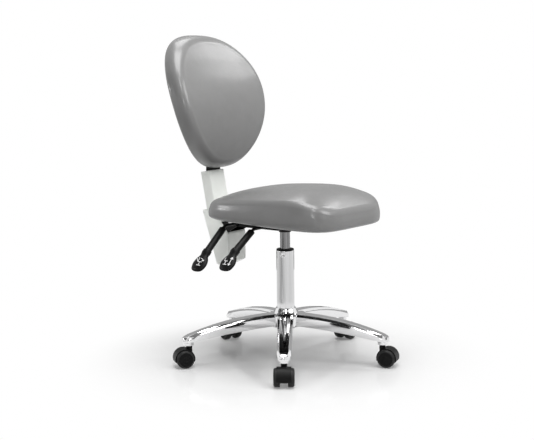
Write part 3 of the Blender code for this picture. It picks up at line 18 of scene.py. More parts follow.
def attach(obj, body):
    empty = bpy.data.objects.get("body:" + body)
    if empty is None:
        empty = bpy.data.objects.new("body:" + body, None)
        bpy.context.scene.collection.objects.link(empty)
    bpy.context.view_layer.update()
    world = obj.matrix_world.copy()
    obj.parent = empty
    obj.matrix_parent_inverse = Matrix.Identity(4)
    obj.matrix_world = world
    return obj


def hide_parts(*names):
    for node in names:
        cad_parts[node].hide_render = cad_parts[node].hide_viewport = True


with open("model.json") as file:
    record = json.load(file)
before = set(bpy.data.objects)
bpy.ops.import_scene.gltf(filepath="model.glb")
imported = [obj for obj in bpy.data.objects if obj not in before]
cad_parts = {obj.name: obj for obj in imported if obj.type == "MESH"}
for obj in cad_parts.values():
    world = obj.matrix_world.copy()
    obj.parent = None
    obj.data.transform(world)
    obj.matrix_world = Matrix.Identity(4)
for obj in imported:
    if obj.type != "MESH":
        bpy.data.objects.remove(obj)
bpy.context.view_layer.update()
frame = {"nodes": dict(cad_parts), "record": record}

# %% [markdown]
# ## Helpers for meshes
#
# Every soft form here is a loft: closed rings of points, one behind the other, joined by four-sided faces.
# A few rings hold the design, and a curve through them adds the rest. Subdivision would also smooth the
# form, but it pulls the surface in from its rings, and these rings are measured.


# %% Lofts and turned forms
SHARP_ANGLE = 50.0


def smoothed(rings, steps):
    """The rings with more between them, on curves that pass through every one."""
    rings = np.array(rings, float)
    gaps = np.linalg.norm(np.diff(rings, axis=0), axis=2).mean(axis=1)
    place = np.concatenate(([0.0], np.cumsum(gaps)))
    slopes = np.gradient(rings, place, axis=0)
    made = []
    for index, gap in enumerate(gaps):
        for step in range(steps):
            share = step / steps
            square = share**2
            cube = share**3
            start = (2 * cube - 3 * square + 1) * rings[index]
            leave = (cube - 2 * square + share) * gap * slopes[index]
            end = (3 * square - 2 * cube) * rings[index + 1]
            arrive = (cube - square) * gap * slopes[index + 1]
            made.append((start + leave) + (end + arrive))
    made.append(rings[-1])
    return made


def lofted(name, rings):
    """A closed mesh through rings of equal length, with one face over each end."""
    shape = bmesh.new()
    loops = [[shape.verts.new(point) for point in ring] for ring in rings]
    for near, far in zip(loops, loops[1:]):
        for index in range(len(near)):
            after = (index + 1) % len(near)
            shape.faces.new((near[index], near[after], far[after], far[index]))
    shape.faces.new(loops[0])
    shape.faces.new(loops[-1])
    bmesh.ops.recalc_face_normals(shape, faces=shape.faces)
    mesh = bpy.data.meshes.new(name)
    shape.to_mesh(mesh)
    shape.free()
    return mesh


def turned_rings(profile, steps):
    """Rings about Z from (radius, height) points."""
    angles = [2 * math.pi * step / steps for step in range(steps)]
    rings = []
    for radius, height in profile:
        rings.append([(radius * math.cos(angle), radius * math.sin(angle), height) for angle in angles])
    return rings


def add_piece(name, mesh, finish, body, sharp=SHARP_ANGLE):
    """An object of this mesh on a body, smooth between edges sharper than an angle in degrees."""
    piece = bpy.data.objects.new(name, mesh)
    bpy.context.scene.collection.objects.link(piece)
    mesh.materials.append(finish)
    mesh.shade_smooth()
    mesh.set_sharp_from_angle(angle=math.radians(sharp))
    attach(piece, body)
    return piece


# %% [markdown]
# ## Helpers for finishes
#
# A finish is a Principled shader with a few patterns behind it. All patterns read the object's own
# coordinates in metres, so a grain has its real size and stays on the piece when the chair moves.
# Image textures would need an unwrapped mesh, which these patterns do without.


# %% Patterns in metres
PATTERN_LOW = 0.25
PATTERN_HIGH = 0.75


def neutral(level):
    """A grey of one level."""
    return (level, level, level)


def new_finish(name, colour, roughness, metallic=0.0):
    """A material and its shader, with values that hold all over the surface."""
    finish = bpy.data.materials.new(name)
    finish.use_nodes = True
    shader = finish.node_tree.nodes["Principled BSDF"]
    shader.inputs["Base Color"].default_value = (*colour, 1.0)
    shader.inputs["Roughness"].default_value = roughness
    shader.inputs["Metallic"].default_value = metallic
    return finish, shader


def add_node(finish, kind, inputs=None, **settings):
    """A node with its settings and input values."""
    node = finish.node_tree.nodes.new(kind)
    for setting, value in settings.items():
        setattr(node, setting, value)
    for socket, value in (inputs or {}).items():
        node.inputs[socket].default_value = value
    return node


def wire(finish, source, target):
    """A link from one socket to another."""
    finish.node_tree.links.new(source, target)


def own_place(finish, stretch=(1.0, 1.0, 1.0)):
    """The object's own coordinates, stretched to draw a pattern out along an axis."""
    place = add_node(finish, "ShaderNodeTexCoord")
    mapping = add_node(finish, "ShaderNodeMapping", {"Scale": stretch})
    wire(finish, place.outputs["Object"], mapping.inputs["Vector"])
    return mapping.outputs["Vector"]


def clouds(finish, size, detail=3.0, stretch=(1.0, 1.0, 1.0)):
    """Soft blotches of about a size in metres, from 0 to 1."""
    node = add_node(finish, "ShaderNodeTexNoise", {"Scale": 1.0 / size, "Detail": detail, "Roughness": 0.55})
    wire(finish, own_place(finish, stretch), node.inputs["Vector"])
    return node.outputs["Fac"]


def cells(finish, size):
    """A net of small cells of about a size in metres, low along their borders."""
    node = add_node(finish, "ShaderNodeTexVoronoi", {"Scale": 1.0 / size}, feature="DISTANCE_TO_EDGE")
    wire(finish, own_place(finish), node.inputs["Vector"])
    return node.outputs["Distance"]


def spread(finish, pattern, low, high):
    """A pattern brought between two values."""
    ends = {"From Min": PATTERN_LOW, "From Max": PATTERN_HIGH, "To Min": low, "To Max": high}
    node = add_node(finish, "ShaderNodeMapRange", ends)
    wire(finish, pattern, node.inputs["Value"])
    return node.outputs["Result"]


def vary_colour(finish, shader, pattern, dark, light):
    """The base colour, between two shades."""
    node = add_node(finish, "ShaderNodeMix", data_type="RGBA")
    dark_socket, light_socket = [socket for socket in node.inputs if socket.type == "RGBA"]
    dark_socket.default_value = (*dark, 1.0)
    light_socket.default_value = (*light, 1.0)
    wire(finish, spread(finish, pattern, 0.0, 1.0), node.inputs["Factor"])
    wire(finish, node.outputs[2], shader.inputs["Base Color"])


def vary_roughness(finish, shader, pattern, low, high):
    """The roughness, between two values."""
    wire(finish, spread(finish, pattern, low, high), shader.inputs["Roughness"])


def emboss(finish, shader, *layers):
    """Relief from layers of (pattern, height in metres), the coarsest first."""
    below = None
    for pattern, height in layers:
        node = add_node(finish, "ShaderNodeBump", {"Strength": 1.0, "Distance": height})
        wire(finish, pattern, node.inputs["Height"])
        if below is not None:
            wire(finish, below, node.inputs["Normal"])
        below = node.outputs["Normal"]
    wire(finish, below, shader.inputs["Normal"])


# %% [markdown]
# ## Upholstery
#
# The seat and back are wrapped in smooth grey coated cloth that imitates leather: a fine pebble grain, a
# soft sheen from the coating, and hardly any wrinkles, because it is drawn tight over moulded foam. The
# grain is a net of cells about a millimetre wide, over a much broader and gentler unevenness.

# %% Grey upholstery
LEATHER_DARK = (0.145, 0.145, 0.144)
LEATHER_LIGHT = (0.160, 0.160, 0.159)

leather, leather_shader = new_finish("grey_leather", LEATHER_LIGHT, 0.36)
leather_shader.inputs["Specular IOR Level"].default_value = 0.4
leather_shader.inputs["Coat Weight"].default_value = 0.40
leather_shader.inputs["Coat Roughness"].default_value = 0.18
vary_colour(leather, leather_shader, clouds(leather, 0.035), LEATHER_DARK, LEATHER_LIGHT)
vary_roughness(leather, leather_shader, clouds(leather, 0.012), 0.33, 0.41)
emboss(leather, leather_shader, (clouds(leather, 0.045, 2.0), 0.0004), (cells(leather, 0.0012), 0.00005))
print("upholstery: grain of 1.2 mm cells")

# %% [markdown]
# ## Metal
#
# The base is die-cast and polished, so its mirror is a little wavy. The column and the cylinder are
# chromed tube, drawn along their length and truer. The small steel parts are plain and turned.
# All of them get their colour from what they reflect, so the finish is mostly roughness and relief. The
# cylinder alone also has painted reflection: light and dark streaks along it in its colour.

# %% Polished casting, chrome and steel
polished, polished_shader = new_finish("polished_aluminium", (0.80, 0.80, 0.805), 0.07, 1.0)
vary_roughness(polished, polished_shader, clouds(polished, 0.018), 0.045, 0.11)
emboss(polished, polished_shader, (clouds(polished, 0.030, 2.0), 0.0004))

chrome, chrome_shader = new_finish("chrome", (0.72, 0.72, 0.725), 0.07, 1.0)
vary_roughness(chrome, chrome_shader, clouds(chrome, 0.006, 3.0, (1.0, 1.0, 0.05)), 0.05, 0.10)
emboss(chrome, chrome_shader, (clouds(chrome, 0.004, 2.0, (1.0, 1.0, 0.03)), 0.000008))

dark_chrome, dark_chrome_shader = new_finish("dark_chrome", (0.22, 0.22, 0.225), 0.12, 1.0)
# Painted reflection: the colour runs in light and dark streaks along the cylinder, standing in for the studio
# mirrored in it.
painted_reflection_streaks = clouds(dark_chrome, 0.0035, 2.0, (1.0, 1.0, 0.01))
vary_colour(dark_chrome, dark_chrome_shader, painted_reflection_streaks, (0.10, 0.10, 0.10), (0.36, 0.36, 0.365))
vary_roughness(dark_chrome, dark_chrome_shader, clouds(dark_chrome, 0.004, 3.0, (1.0, 1.0, 0.05)), 0.09, 0.16)
emboss(dark_chrome, dark_chrome_shader, (clouds(dark_chrome, 0.003, 2.0, (1.0, 1.0, 0.03)), 0.000008))

steel, steel_shader = new_finish("steel", (0.52, 0.52, 0.53), 0.30, 1.0)
vary_roughness(steel, steel_shader, clouds(steel, 0.002), 0.24, 0.38)
emboss(steel, steel_shader, (clouds(steel, 0.0008), 0.00002))
print("metal: wavy casting, drawn chrome, turned steel")

# %% [markdown]
# ## Plastic, paint, rubber and wood
#
# The covers are a satin off-white moulding with a spark-eroded texture. Grips and hoods are black mouldings
# with a finer, slightly deeper one. The mechanism is black powder coat, which has orange peel. The board
# under the seat is covered with black felted cloth against dust. Its near-black colour is also painted shade,
# which keeps the shaded underside dark where the polished base mirrors it.

# %% White and black mouldings
WHITE_DARK = (0.855, 0.875, 0.840)
WHITE_LIGHT = (0.88, 0.90, 0.865)

white_plastic, white_shader = new_finish("white_plastic", (0.87, 0.89, 0.855), 0.36)
vary_colour(white_plastic, white_shader, clouds(white_plastic, 0.05), WHITE_DARK, WHITE_LIGHT)
vary_roughness(white_plastic, white_shader, clouds(white_plastic, 0.004), 0.32, 0.42)
emboss(white_plastic, white_shader, (clouds(white_plastic, 0.0009), 0.000025))

black_plastic, black_plastic_shader = new_finish("black_plastic", neutral(0.004), 0.42)
black_plastic_shader.inputs["Specular IOR Level"].default_value = 0.12
vary_colour(black_plastic, black_plastic_shader, clouds(black_plastic, 0.01), neutral(0.003), neutral(0.006))
vary_roughness(black_plastic, black_plastic_shader, clouds(black_plastic, 0.005), 0.36, 0.48)
emboss(black_plastic, black_plastic_shader, (clouds(black_plastic, 0.0007), 0.00003))

black_paint, black_paint_shader = new_finish("black_paint", neutral(0.005), 0.42)
black_paint_shader.inputs["Specular IOR Level"].default_value = 0.14
vary_colour(black_paint, black_paint_shader, clouds(black_paint, 0.02), neutral(0.004), neutral(0.007))
vary_roughness(black_paint, black_paint_shader, clouds(black_paint, 0.006), 0.36, 0.48)
emboss(black_paint, black_paint_shader, (clouds(black_paint, 0.0018), 0.00004))

# %% Wheels, rubber, board and print
tread, tread_shader = new_finish("wheel_tread", neutral(0.014), 0.42)
tread_shader.inputs["Specular IOR Level"].default_value = 0.20
vary_colour(tread, tread_shader, clouds(tread, 0.006), neutral(0.011), neutral(0.019))
emboss(tread, tread_shader, (clouds(tread, 0.0008), 0.00003))

rubber, rubber_shader = new_finish("rubber", neutral(0.02), 0.70)
vary_roughness(rubber, rubber_shader, clouds(rubber, 0.002), 0.62, 0.78)
emboss(rubber, rubber_shader, (clouds(rubber, 0.0006), 0.00003))

# Black felted cloth. Its near-black colour is also painted shade for the seat's underside, as the base
# mirrors it.
cloth_and_painted_shade, cloth_and_painted_shade_shader = new_finish("cloth_and_painted_shade", neutral(0.012), 0.85)
vary_colour(cloth_and_painted_shade, cloth_and_painted_shade_shader, clouds(cloth_and_painted_shade, 0.0015, 4.0), neutral(0.007), neutral(0.018))
emboss(cloth_and_painted_shade, cloth_and_painted_shade_shader, (clouds(cloth_and_painted_shade, 0.0009, 4.0, (1.0, 0.3, 1.0)), 0.0001))

print_white, print_shader = new_finish("white_print", neutral(0.78), 0.45)
vary_colour(print_white, print_shader, clouds(print_white, 0.002), neutral(0.66), neutral(0.82))
print("mouldings, paint, tread, rubber, board and print are ready")

# %% [markdown]
# ## Finishes on the frame
#
# The frame's pieces arrive as flat facets. Welding their corners and splitting only the sharp edges gives
# round surfaces a smooth shade and leaves their shape as it is. The pieces whose facets would still show,
# such as the wheels and the column, get a finer mesh further on.

# %% Dress the frame
FINISH_OF_SLOT = {
    "polished": polished,
    "chrome": chrome,
    "steel": steel,
    "black_steel": black_paint,
    "black_plastic": black_plastic,
    "wheel_plastic": black_plastic,
    "white_plastic": white_plastic,
    "seal_rubber": rubber,
    "leather": leather,
    "board": cloth_and_painted_shade,
}
SMOOTH_BELOW = math.radians(38.0)
WELD_DISTANCE = 0.000005
for part in frame["record"]["subparts"]:
    node = frame["nodes"][part["node"]]
    node.data.materials.clear()
    node.data.materials.append(FINISH_OF_SLOT[part["material_slot"]])
    normals = node.data.attributes.get("custom_normal")
    if normals is not None:
        node.data.attributes.remove(normals)
    node.data.shade_smooth()
    weld = node.modifiers.new("weld", "WELD")
    weld.merge_threshold = WELD_DISTANCE
    split = node.modifiers.new("sharp edges", "EDGE_SPLIT")
    split.split_angle = SMOOTH_BELOW
frame["nodes"]["gas_cylinder"].data.materials[0] = dark_chrome

# %% [markdown]
# ## Seat
#
# The seat is a moulded foam block with a tight roll round its edge. Its plan is a softened rectangle. Its
# top is crowned like a pillow and falls all round, further at the front and a little further at the rear.
# It stands for a plainer solid with the same plan: it is a few millimetres higher in the middle, and up to
# 15 mm lower at the front edge. Cloth simulation suits loose cushions, and this cover is drawn tight.

# %% Seat sizes in metres
SEAT_HALF_WIDTH = 0.165
SEAT_FRONT = -0.2465
SEAT_REAR = 0.1833
SEAT_SQUARENESS = 4.92
SEAT_BOTTOM = 0.400
SEAT_TOP = 0.4968
SEAT_CROWN = 0.0356
SEAT_CROWN_POWER = 2.8
SEAT_FRONT_FALL = 0.0332
SEAT_FRONT_FALL_START = 0.40
SEAT_REAR_FALL = 0.0108
SEAT_REAR_FALL_START = 0.70
SEAT_PITCH = 0.030
SEAT_TOP_PITCH = -0.0585
SEAT_ROLL_WIDTH = 0.0139
SEAT_ROLL_HEIGHT = 0.0150
SEAT_BULGE = 0.003
SEAT_RIM = 0.024
SEAT_POCKET_CEILING = 0.4203
SEAT_POINTS = 144
SEAT_PLAN_STEPS = 20000

SEAT_MIDDLE_Y = (SEAT_FRONT + SEAT_REAR) / 2
SEAT_HALF_LENGTH = (SEAT_REAR - SEAT_FRONT) / 2


def softened(angle):
    """A point on a softened square of half width 1."""
    power = 2 / SEAT_SQUARENESS
    x = math.copysign(abs(math.cos(angle)) ** power, math.cos(angle))
    y = math.copysign(abs(math.sin(angle)) ** power, math.sin(angle))
    return x, y


def evenly_spaced(count):
    """Points on the softened square at even steps along its length."""
    angles = [2 * math.pi * step / SEAT_PLAN_STEPS for step in range(SEAT_PLAN_STEPS + 1)]
    fine = np.array([softened(angle) for angle in angles])
    length = np.concatenate(([0.0], np.cumsum(np.linalg.norm(np.diff(fine, axis=0), axis=1))))
    wanted = np.linspace(0.0, length[-1], count, endpoint=False)
    return [(np.interp(at, length, fine[:, 0]), np.interp(at, length, fine[:, 1])) for at in wanted]


SEAT_PLAN = evenly_spaced(SEAT_POINTS)
print("seat plan:", SEAT_POINTS, "points")


# %% Seat form
def seat_outline(inset):
    """The seat's plan, drawn in by an inset."""
    half_width = SEAT_HALF_WIDTH - inset
    half_length = SEAT_HALF_LENGTH - inset
    return [(half_width * x, SEAT_MIDDLE_Y + half_length * y) for x, y in SEAT_PLAN]


def seat_low(y):
    """The height of the upholstery's lower edge."""
    return SEAT_BOTTOM + SEAT_PITCH * (y - SEAT_MIDDLE_Y)


def seat_fall(fall, start, reach):
    """How far the sat-on face has dropped at a reach from its middle, when the drop begins at a start."""
    return fall * max(0.0, (reach - start) / (1.0 - start)) ** 2


def seat_top(x, y):
    """The height of the sat-on face: a crown that falls all round, and further at both ends."""
    across = abs(x) / SEAT_HALF_WIDTH
    along = (y - SEAT_MIDDLE_Y) / SEAT_HALF_LENGTH
    level = (1.0 - across**SEAT_CROWN_POWER) * (1.0 - abs(along) ** SEAT_CROWN_POWER)
    fall = SEAT_CROWN * (1.0 - level)
    fall += seat_fall(SEAT_FRONT_FALL, SEAT_FRONT_FALL_START, -along)
    fall += seat_fall(SEAT_REAR_FALL, SEAT_REAR_FALL_START, along)
    return SEAT_TOP + SEAT_TOP_PITCH * (y - SEAT_MIDDLE_Y) - fall


def seat_side_ring(inset, share):
    """A ring round the side, at a share of the way from the lower edge up to the start of the roll."""
    ring = []
    for x, y in seat_outline(inset):
        low = seat_low(y)
        ring.append((x, y, low + (seat_top(x, y) - SEAT_ROLL_HEIGHT - low) * share))
    return ring


def seat_roll_ring(degrees):
    """A ring on the roll between the side and the sat-on face."""
    inset = SEAT_BULGE + SEAT_ROLL_WIDTH * (1.0 - math.cos(math.radians(degrees)))
    drop = SEAT_ROLL_HEIGHT * (1.0 - math.sin(math.radians(degrees)))
    return [(x, y, seat_top(x, y) - drop) for x, y in seat_outline(inset)]


def seat_face_ring(share):
    """A ring on the sat-on face, at a share of the way out to the roll."""
    ring = []
    for x, y in seat_outline(SEAT_BULGE + SEAT_ROLL_WIDTH):
        inner_x = x * share
        inner_y = SEAT_MIDDLE_Y + (y - SEAT_MIDDLE_Y) * share
        ring.append((inner_x, inner_y, seat_top(inner_x, inner_y)))
    return ring


def seat_pocket_ring(share, height):
    """A level ring in the pocket for the board."""
    ring = []
    for x, y in seat_outline(SEAT_RIM):
        ring.append((x * share, SEAT_MIDDLE_Y + (y - SEAT_MIDDLE_Y) * share, height))
    return ring


# %% Seat upholstery
# Rings up the side: how far each is drawn in, and its share of the way up to the roll
SEAT_SIDE = (
    (SEAT_RIM, 0.04),
    (SEAT_RIM - 0.003, 0.0),
    (0.0075, 0.0),
    (0.0030, 0.08),
    (0.0008, 0.22),
    (0.0, 0.42),
    (0.0, 0.62),
    (0.0006, 0.80),
)
SEAT_FACE_SHARES = (0.95, 0.9, 0.84, 0.77, 0.7, 0.6, 0.5, 0.38, 0.26, 0.14, 0.04)

side = [seat_side_ring(inset, share) for inset, share in SEAT_SIDE]
roll = [seat_roll_ring(degrees) for degrees in range(10, 91, 10)]
face = [seat_face_ring(share) for share in SEAT_FACE_SHARES]
pocket = [seat_pocket_ring(share, SEAT_POCKET_CEILING) for share in (0.02, 1.0)]
seat_mesh = lofted("seat_upholstery", pocket + smoothed(side + roll + face, 3))
seat = add_piece("seat_upholstery", seat_mesh, leather, "lift")
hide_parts("seat_cushion")
print("seat upholstery:", len(seat_mesh.polygons), "faces")

# %% [markdown]
# ## Backrest
#
# The backrest is an egg-shaped pad, wider above than below, bent backwards about the lumbar line and nearly
# straight at the top. Its edge is a soft roll, and its rear has a hollow for a thin panel. It could be
# sculpted by hand, but rings drawn in from one outline keep the edge even and are easy to change.

# %% Backrest sizes in metres
BACK_HALF_WIDTH = 0.1765
BACK_EGG = 0.143
BACK_WAIST = 0.09
BACK_SIDE_FULLNESS = 0.80
BACK_END_FULLNESS = 0.935
BACK_CENTRE_Z = 0.7208
BACK_HALF_HEIGHT = 0.184
BACK_FRONT_Y = 0.18983
BACK_LUMBAR_Z = 0.639
BACK_BEND_RADIUS = 0.361
BACK_STRAIGHT_Z = 0.850
BACK_THICKNESS = 0.0535
BACK_FLARE = 0.0097
BACK_CROWN = 0.006
BACK_RIM = 0.018
BACK_PANEL_THICKNESS = 0.008
BACK_POINTS = 144
SEAM = 0.0003


def back_front(height):
    """The front of the backrest at a height."""
    rise = height - BACK_LUMBAR_Z
    bowed = min(rise, BACK_STRAIGHT_Z - BACK_LUMBAR_Z)
    slope = bowed / BACK_BEND_RADIUS
    return BACK_FRONT_Y + slope * bowed / 2 + slope * (rise - bowed)


def back_outline(angle, inset, depth):
    """A point (x, height) of the egg-shaped outline, which widens towards the rear."""
    drawn_in = inset - BACK_FLARE * depth / BACK_THICKNESS
    rise = math.copysign(abs(math.sin(angle)) ** BACK_END_FULLNESS, math.sin(angle))
    side = math.copysign(abs(math.cos(angle)) ** BACK_SIDE_FULLNESS, math.cos(angle))
    x = (BACK_HALF_WIDTH - drawn_in) * side * (1.0 + BACK_EGG * rise - BACK_WAIST * rise**2)
    return x, (BACK_HALF_HEIGHT - drawn_in) * rise


def back_ring(inset, depth, share=1.0, crown=0.0):
    """A ring round the backrest, drawn in from its outline and shrunk to a share of what is left."""
    ring = []
    for index in range(BACK_POINTS):
        x, rise = back_outline(2 * math.pi * (index + 0.5) / BACK_POINTS, inset, depth)
        height = BACK_CENTRE_Z + rise * share
        ring.append((x * share, back_front(height) + depth - crown, height))
    return ring


# %% Backrest upholstery
BACK_FACE_SHARES = (0.04, 0.16, 0.3, 0.43, 0.55, 0.67, 0.78, 0.86, 0.93, 1.0)
BACK_FACE_INSET = 0.014
BACK_FACE_DEPTH = 0.002
# Rings round the edge, from front to rear: how far each is drawn in, and its depth
BACK_EDGE = (
    (0.0055, 0.0065),
    (0.0012, 0.0145),
    (0.0, 0.025),
    (0.0010, 0.036),
    (0.0030, BACK_THICKNESS - 0.007),
    (0.0075, BACK_THICKNESS - 0.001),
    (BACK_RIM - 0.004, BACK_THICKNESS),
)

front = []
for share in BACK_FACE_SHARES:
    front.append(back_ring(BACK_FACE_INSET, BACK_FACE_DEPTH, share, BACK_CROWN * (1.0 - share**2)))
edge = [back_ring(inset, depth) for inset, depth in BACK_EDGE]
hollow_floor = BACK_THICKNESS - BACK_PANEL_THICKNESS - SEAM
hollow = [
    back_ring(BACK_RIM - 0.0008, BACK_THICKNESS - 0.0006),
    back_ring(BACK_RIM, BACK_THICKNESS - 0.002),
]
hollow += [back_ring(BACK_RIM, hollow_floor, share) for share in (1.0, 0.5, 0.02)]
back_mesh = lofted("back_upholstery", smoothed(front + edge, 4) + hollow)
back = add_piece("back_upholstery", back_mesh, leather, "backrest")
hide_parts("back_cushion")
print("backrest upholstery:", len(back_mesh.polygons), "faces")

# %% [markdown]
# ## Lever grips
#
# Each lever ends in a moulded grip: a sleeve over the rod, a collar, and a paddle shaped like a teardrop.
# The two levers differ in their bend and slope, so one function makes both from a few sizes. The sleeves
# are 4 mm thicker and wider than those of the frame, which are slimmer than the real ones.

# %% Lever sizes in metres and degrees
LEVER_Z = 0.385
LEVER_BEND_RADIUS = 0.022
PADDLE_LENGTH = 0.061
PADDLE_WIDTH = 0.048
PADDLE_THICKNESS = 0.017
SLEEVE_WIDTH = 0.021
SLEEVE_THICKNESS = 0.0175
SLEEVE_ROUNDING = 0.001
SLEEVE_CLEARANCE = 0.004
COLLAR_LENGTH = 0.010
COLLAR_STEP = 0.0012
COLLAR_GROWTH = ((0.0025, 0.0018), (0.0030, 0.0022))
GRIP_POINTS = 32
# Rings along the paddle: shares of its length, its width and its thickness
PADDLE_SHAPE = (
    (0.16, 0.55, 0.90),
    (0.36, 0.84, 1.00),
    (0.58, 1.00, 1.00),
    (0.78, 0.93, 0.90),
    (0.93, 0.74, 0.66),
    (1.00, 0.40, 0.28),
    (1.005, 0.08, 0.06),
)
LEVERS = {
    "height": {"y": 0.008, "bend_x": -0.128, "slope": 33.0, "bar": 0.098, "turn": 11.0},
    "tilt": {"y": 0.115, "bend_x": -0.122, "slope": 39.0, "bar": 0.105, "turn": 6.0},
}


def down_slope(degrees):
    """The direction of a slope outwards and down, as (x, z)."""
    return Vector((-math.cos(math.radians(degrees)), -math.sin(math.radians(degrees))))


def oval(centre, along, y, half_width, half_thickness):
    """An oval across a grip at an (x, z) centre."""
    ring = []
    for step in range(GRIP_POINTS):
        angle = 2 * math.pi * step / GRIP_POINTS
        out = half_thickness * math.sin(angle)
        ring.append((centre.x - along.y * out, y + half_width * math.cos(angle), centre.y + along.x * out))
    return ring


# %% Grips
def make_grip(name, lever):
    """The grip of one lever, and the collar and direction its paddle starts from."""
    y = lever["y"]
    down = down_slope(lever["slope"])
    corner = Vector((lever["bend_x"], LEVER_Z))
    collar = corner + down * lever["bar"]
    ridge = corner + down * (lever["bar"] - COLLAR_LENGTH)
    bend_length = LEVER_BEND_RADIUS * math.tan(math.radians(lever["slope"] / 2))
    start = corner + down * (bend_length + SLEEVE_CLEARANCE)
    half_width = SLEEVE_WIDTH / 2
    half_thickness = SLEEVE_THICKNESS / 2
    sleeve = [
        oval(start, down, y, half_width - SLEEVE_ROUNDING, half_thickness - SLEEVE_ROUNDING),
        oval(start + down * SLEEVE_ROUNDING, down, y, half_width, half_thickness),
        oval(ridge, down, y, half_width, half_thickness),
    ]
    for centre, (wider, thicker) in zip((ridge + down * COLLAR_STEP, collar), COLLAR_GROWTH):
        sleeve.append(oval(centre, down, y, half_width + wider, half_thickness + thicker))
    droop = down_slope(lever["slope"] + lever["turn"])
    paddle = [sleeve[-1]]
    for share, width, thickness in PADDLE_SHAPE:
        centre = collar + droop * (PADDLE_LENGTH * share)
        paddle.append(oval(centre, droop, y, PADDLE_WIDTH / 2 * width, PADDLE_THICKNESS / 2 * thickness))
    mesh = lofted(f"{name}_grip", sleeve[:-1] + smoothed(paddle, 4))
    grip = add_piece(f"{name}_grip", mesh, black_plastic, f"{name}_lever", 40.0)
    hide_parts(f"{name}_lever_grip")
    return grip, collar, droop


grips = {name: make_grip(name, lever) for name, lever in LEVERS.items()}
print("grips:", ", ".join(grips))

# %% [markdown]
# ## Symbols on the paddles
#
# Each paddle carries a small printed symbol that says what the lever frees. These are plain drawings made
# for this chair: a side view of a seat with a straight arrow for its height, and one with a bent arrow for
# the back's tilt. The strokes are ribbons laid on the paddle: each point is dropped square onto the
# paddle's face.

# %% Draw the symbols
STROKE = 0.0019
SYMBOL_SCALE = 0.0145
SYMBOL_PLACE = 0.56
STROKE_STEPS = 8
PRINT_THICKNESS = 0.0002
SYMBOLS = {
    "height": (
        [(-0.75, 0.75), (-0.60, -0.05), (0.20, -0.05)],
        [(-0.20, -0.05), (-0.20, -0.75)],
        [(-0.65, -0.80), (0.25, -0.80)],
        [(0.75, -0.85), (0.75, 0.85)],
        [(0.50, 0.50), (0.75, 0.90), (1.00, 0.50)],
        [(0.50, -0.50), (0.75, -0.90), (1.00, -0.50)],
    ),
    "tilt": (
        [(-0.30, 0.90), (-0.15, -0.05), (0.70, -0.05)],
        [(-0.85, 0.65), (-0.25, -0.05)],
        [(0.25, -0.05), (0.25, -0.75)],
        [(-0.20, -0.80), (0.70, -0.80)],
        [(0.10, 0.75), (0.55, 0.62), (0.80, 0.25)],
        [(0.55, 0.30), (0.80, 0.22), (0.92, 0.50)],
    ),
}


def stroke_points(corners):
    """Points close together along a bent line."""
    points = []
    for start, end in zip(corners, corners[1:]):
        for step in range(STROKE_STEPS):
            points.append(Vector(start).lerp(Vector(end), step / STROKE_STEPS))
    points.append(Vector(corners[-1]))
    return points


def drop_on(tree, origin, direction):
    """Where a line from a point meets the grip, lifted by half the print."""
    place, normal, _, _ = tree.ray_cast(origin, direction)
    return place + normal * (PRINT_THICKNESS / 2)


def print_symbol(name):
    """The ribbons of one symbol, laid on the paddle of its grip."""
    grip, collar, droop = grips[name]
    grip_points = [vertex.co for vertex in grip.data.vertices]
    grip_faces = [polygon.vertices for polygon in grip.data.polygons]
    tree = BVHTree.FromPolygons(grip_points, grip_faces)
    centre = collar + droop * (PADDLE_LENGTH * SYMBOL_PLACE)
    face = Vector((droop.y, 0.0, -droop.x))
    up = Vector((-droop.x, 0.0, -droop.y))
    right = up.cross(face)
    middle = Vector((centre.x, LEVERS[name]["y"], centre.y)) + face * PADDLE_THICKNESS
    shape = bmesh.new()
    for corners in SYMBOLS[name]:
        points = stroke_points(corners)
        before = None
        for index, point in enumerate(points):
            ahead = (points[min(index + 1, len(points) - 1)] - points[max(index - 1, 0)]).normalized()
            side = Vector((-ahead.y, ahead.x)) * (STROKE / 2)
            pair = []
            for sign in (-1, 1):
                flat = point * SYMBOL_SCALE + side * sign
                pair.append(shape.verts.new(drop_on(tree, middle + right * flat.x + up * flat.y, -face)))
            if before is not None:
                shape.faces.new((before[0], before[1], pair[1], pair[0]))
            before = pair
    bmesh.ops.recalc_face_normals(shape, faces=shape.faces)
    mesh = bpy.data.meshes.new(f"{name}_symbol")
    shape.to_mesh(mesh)
    shape.free()
    symbol = add_piece(f"{name}_symbol", mesh, print_white, f"{name}_lever")
    thickness = symbol.modifiers.new("ink", "SOLIDIFY")
    thickness.thickness = PRINT_THICKNESS
    thickness.offset = 0.0
    return symbol


for name in LEVERS:
    symbol = print_symbol(name)
    print("symbol:", symbol.name, len(symbol.data.polygons), "faces")

# %% [markdown]
# ## Column tube
#
# The outer tube of the lift is pinched near its mouth in three places, which holds the guide. Those stake
# marks show as small bright dents. Cutting them would need a finer wall than the frame has, so a finely
# stepped tube stands for the plain one, and its wall is pushed in round each mark.

# %% Column with stake marks
COLUMN_RADIUS = 0.025
COLUMN_WALL = 0.002
COLUMN_TAPER = 0.0007
COLUMN_FLOOR = 0.003
ROD_HOLE_RADIUS = 0.0045
COLUMN_TOP = 0.311
COLUMN_BOTTOM = 0.088
HUB_TOP = 0.148
HUB_BOTTOM = 0.0955
STAKE_HEIGHT = 0.3005
STAKE_DEPTH = 0.0018
STAKE_SIZE = 0.0030
STAKE_STRETCH = 1.7
STAKE_BAND_START = 0.288
STAKE_BAND_STEP = 0.0008
STAKE_BAND_RINGS = 27
STAKE_HEADINGS = (203.0, 323.0, 83.0)
COLUMN_STEPS = 192


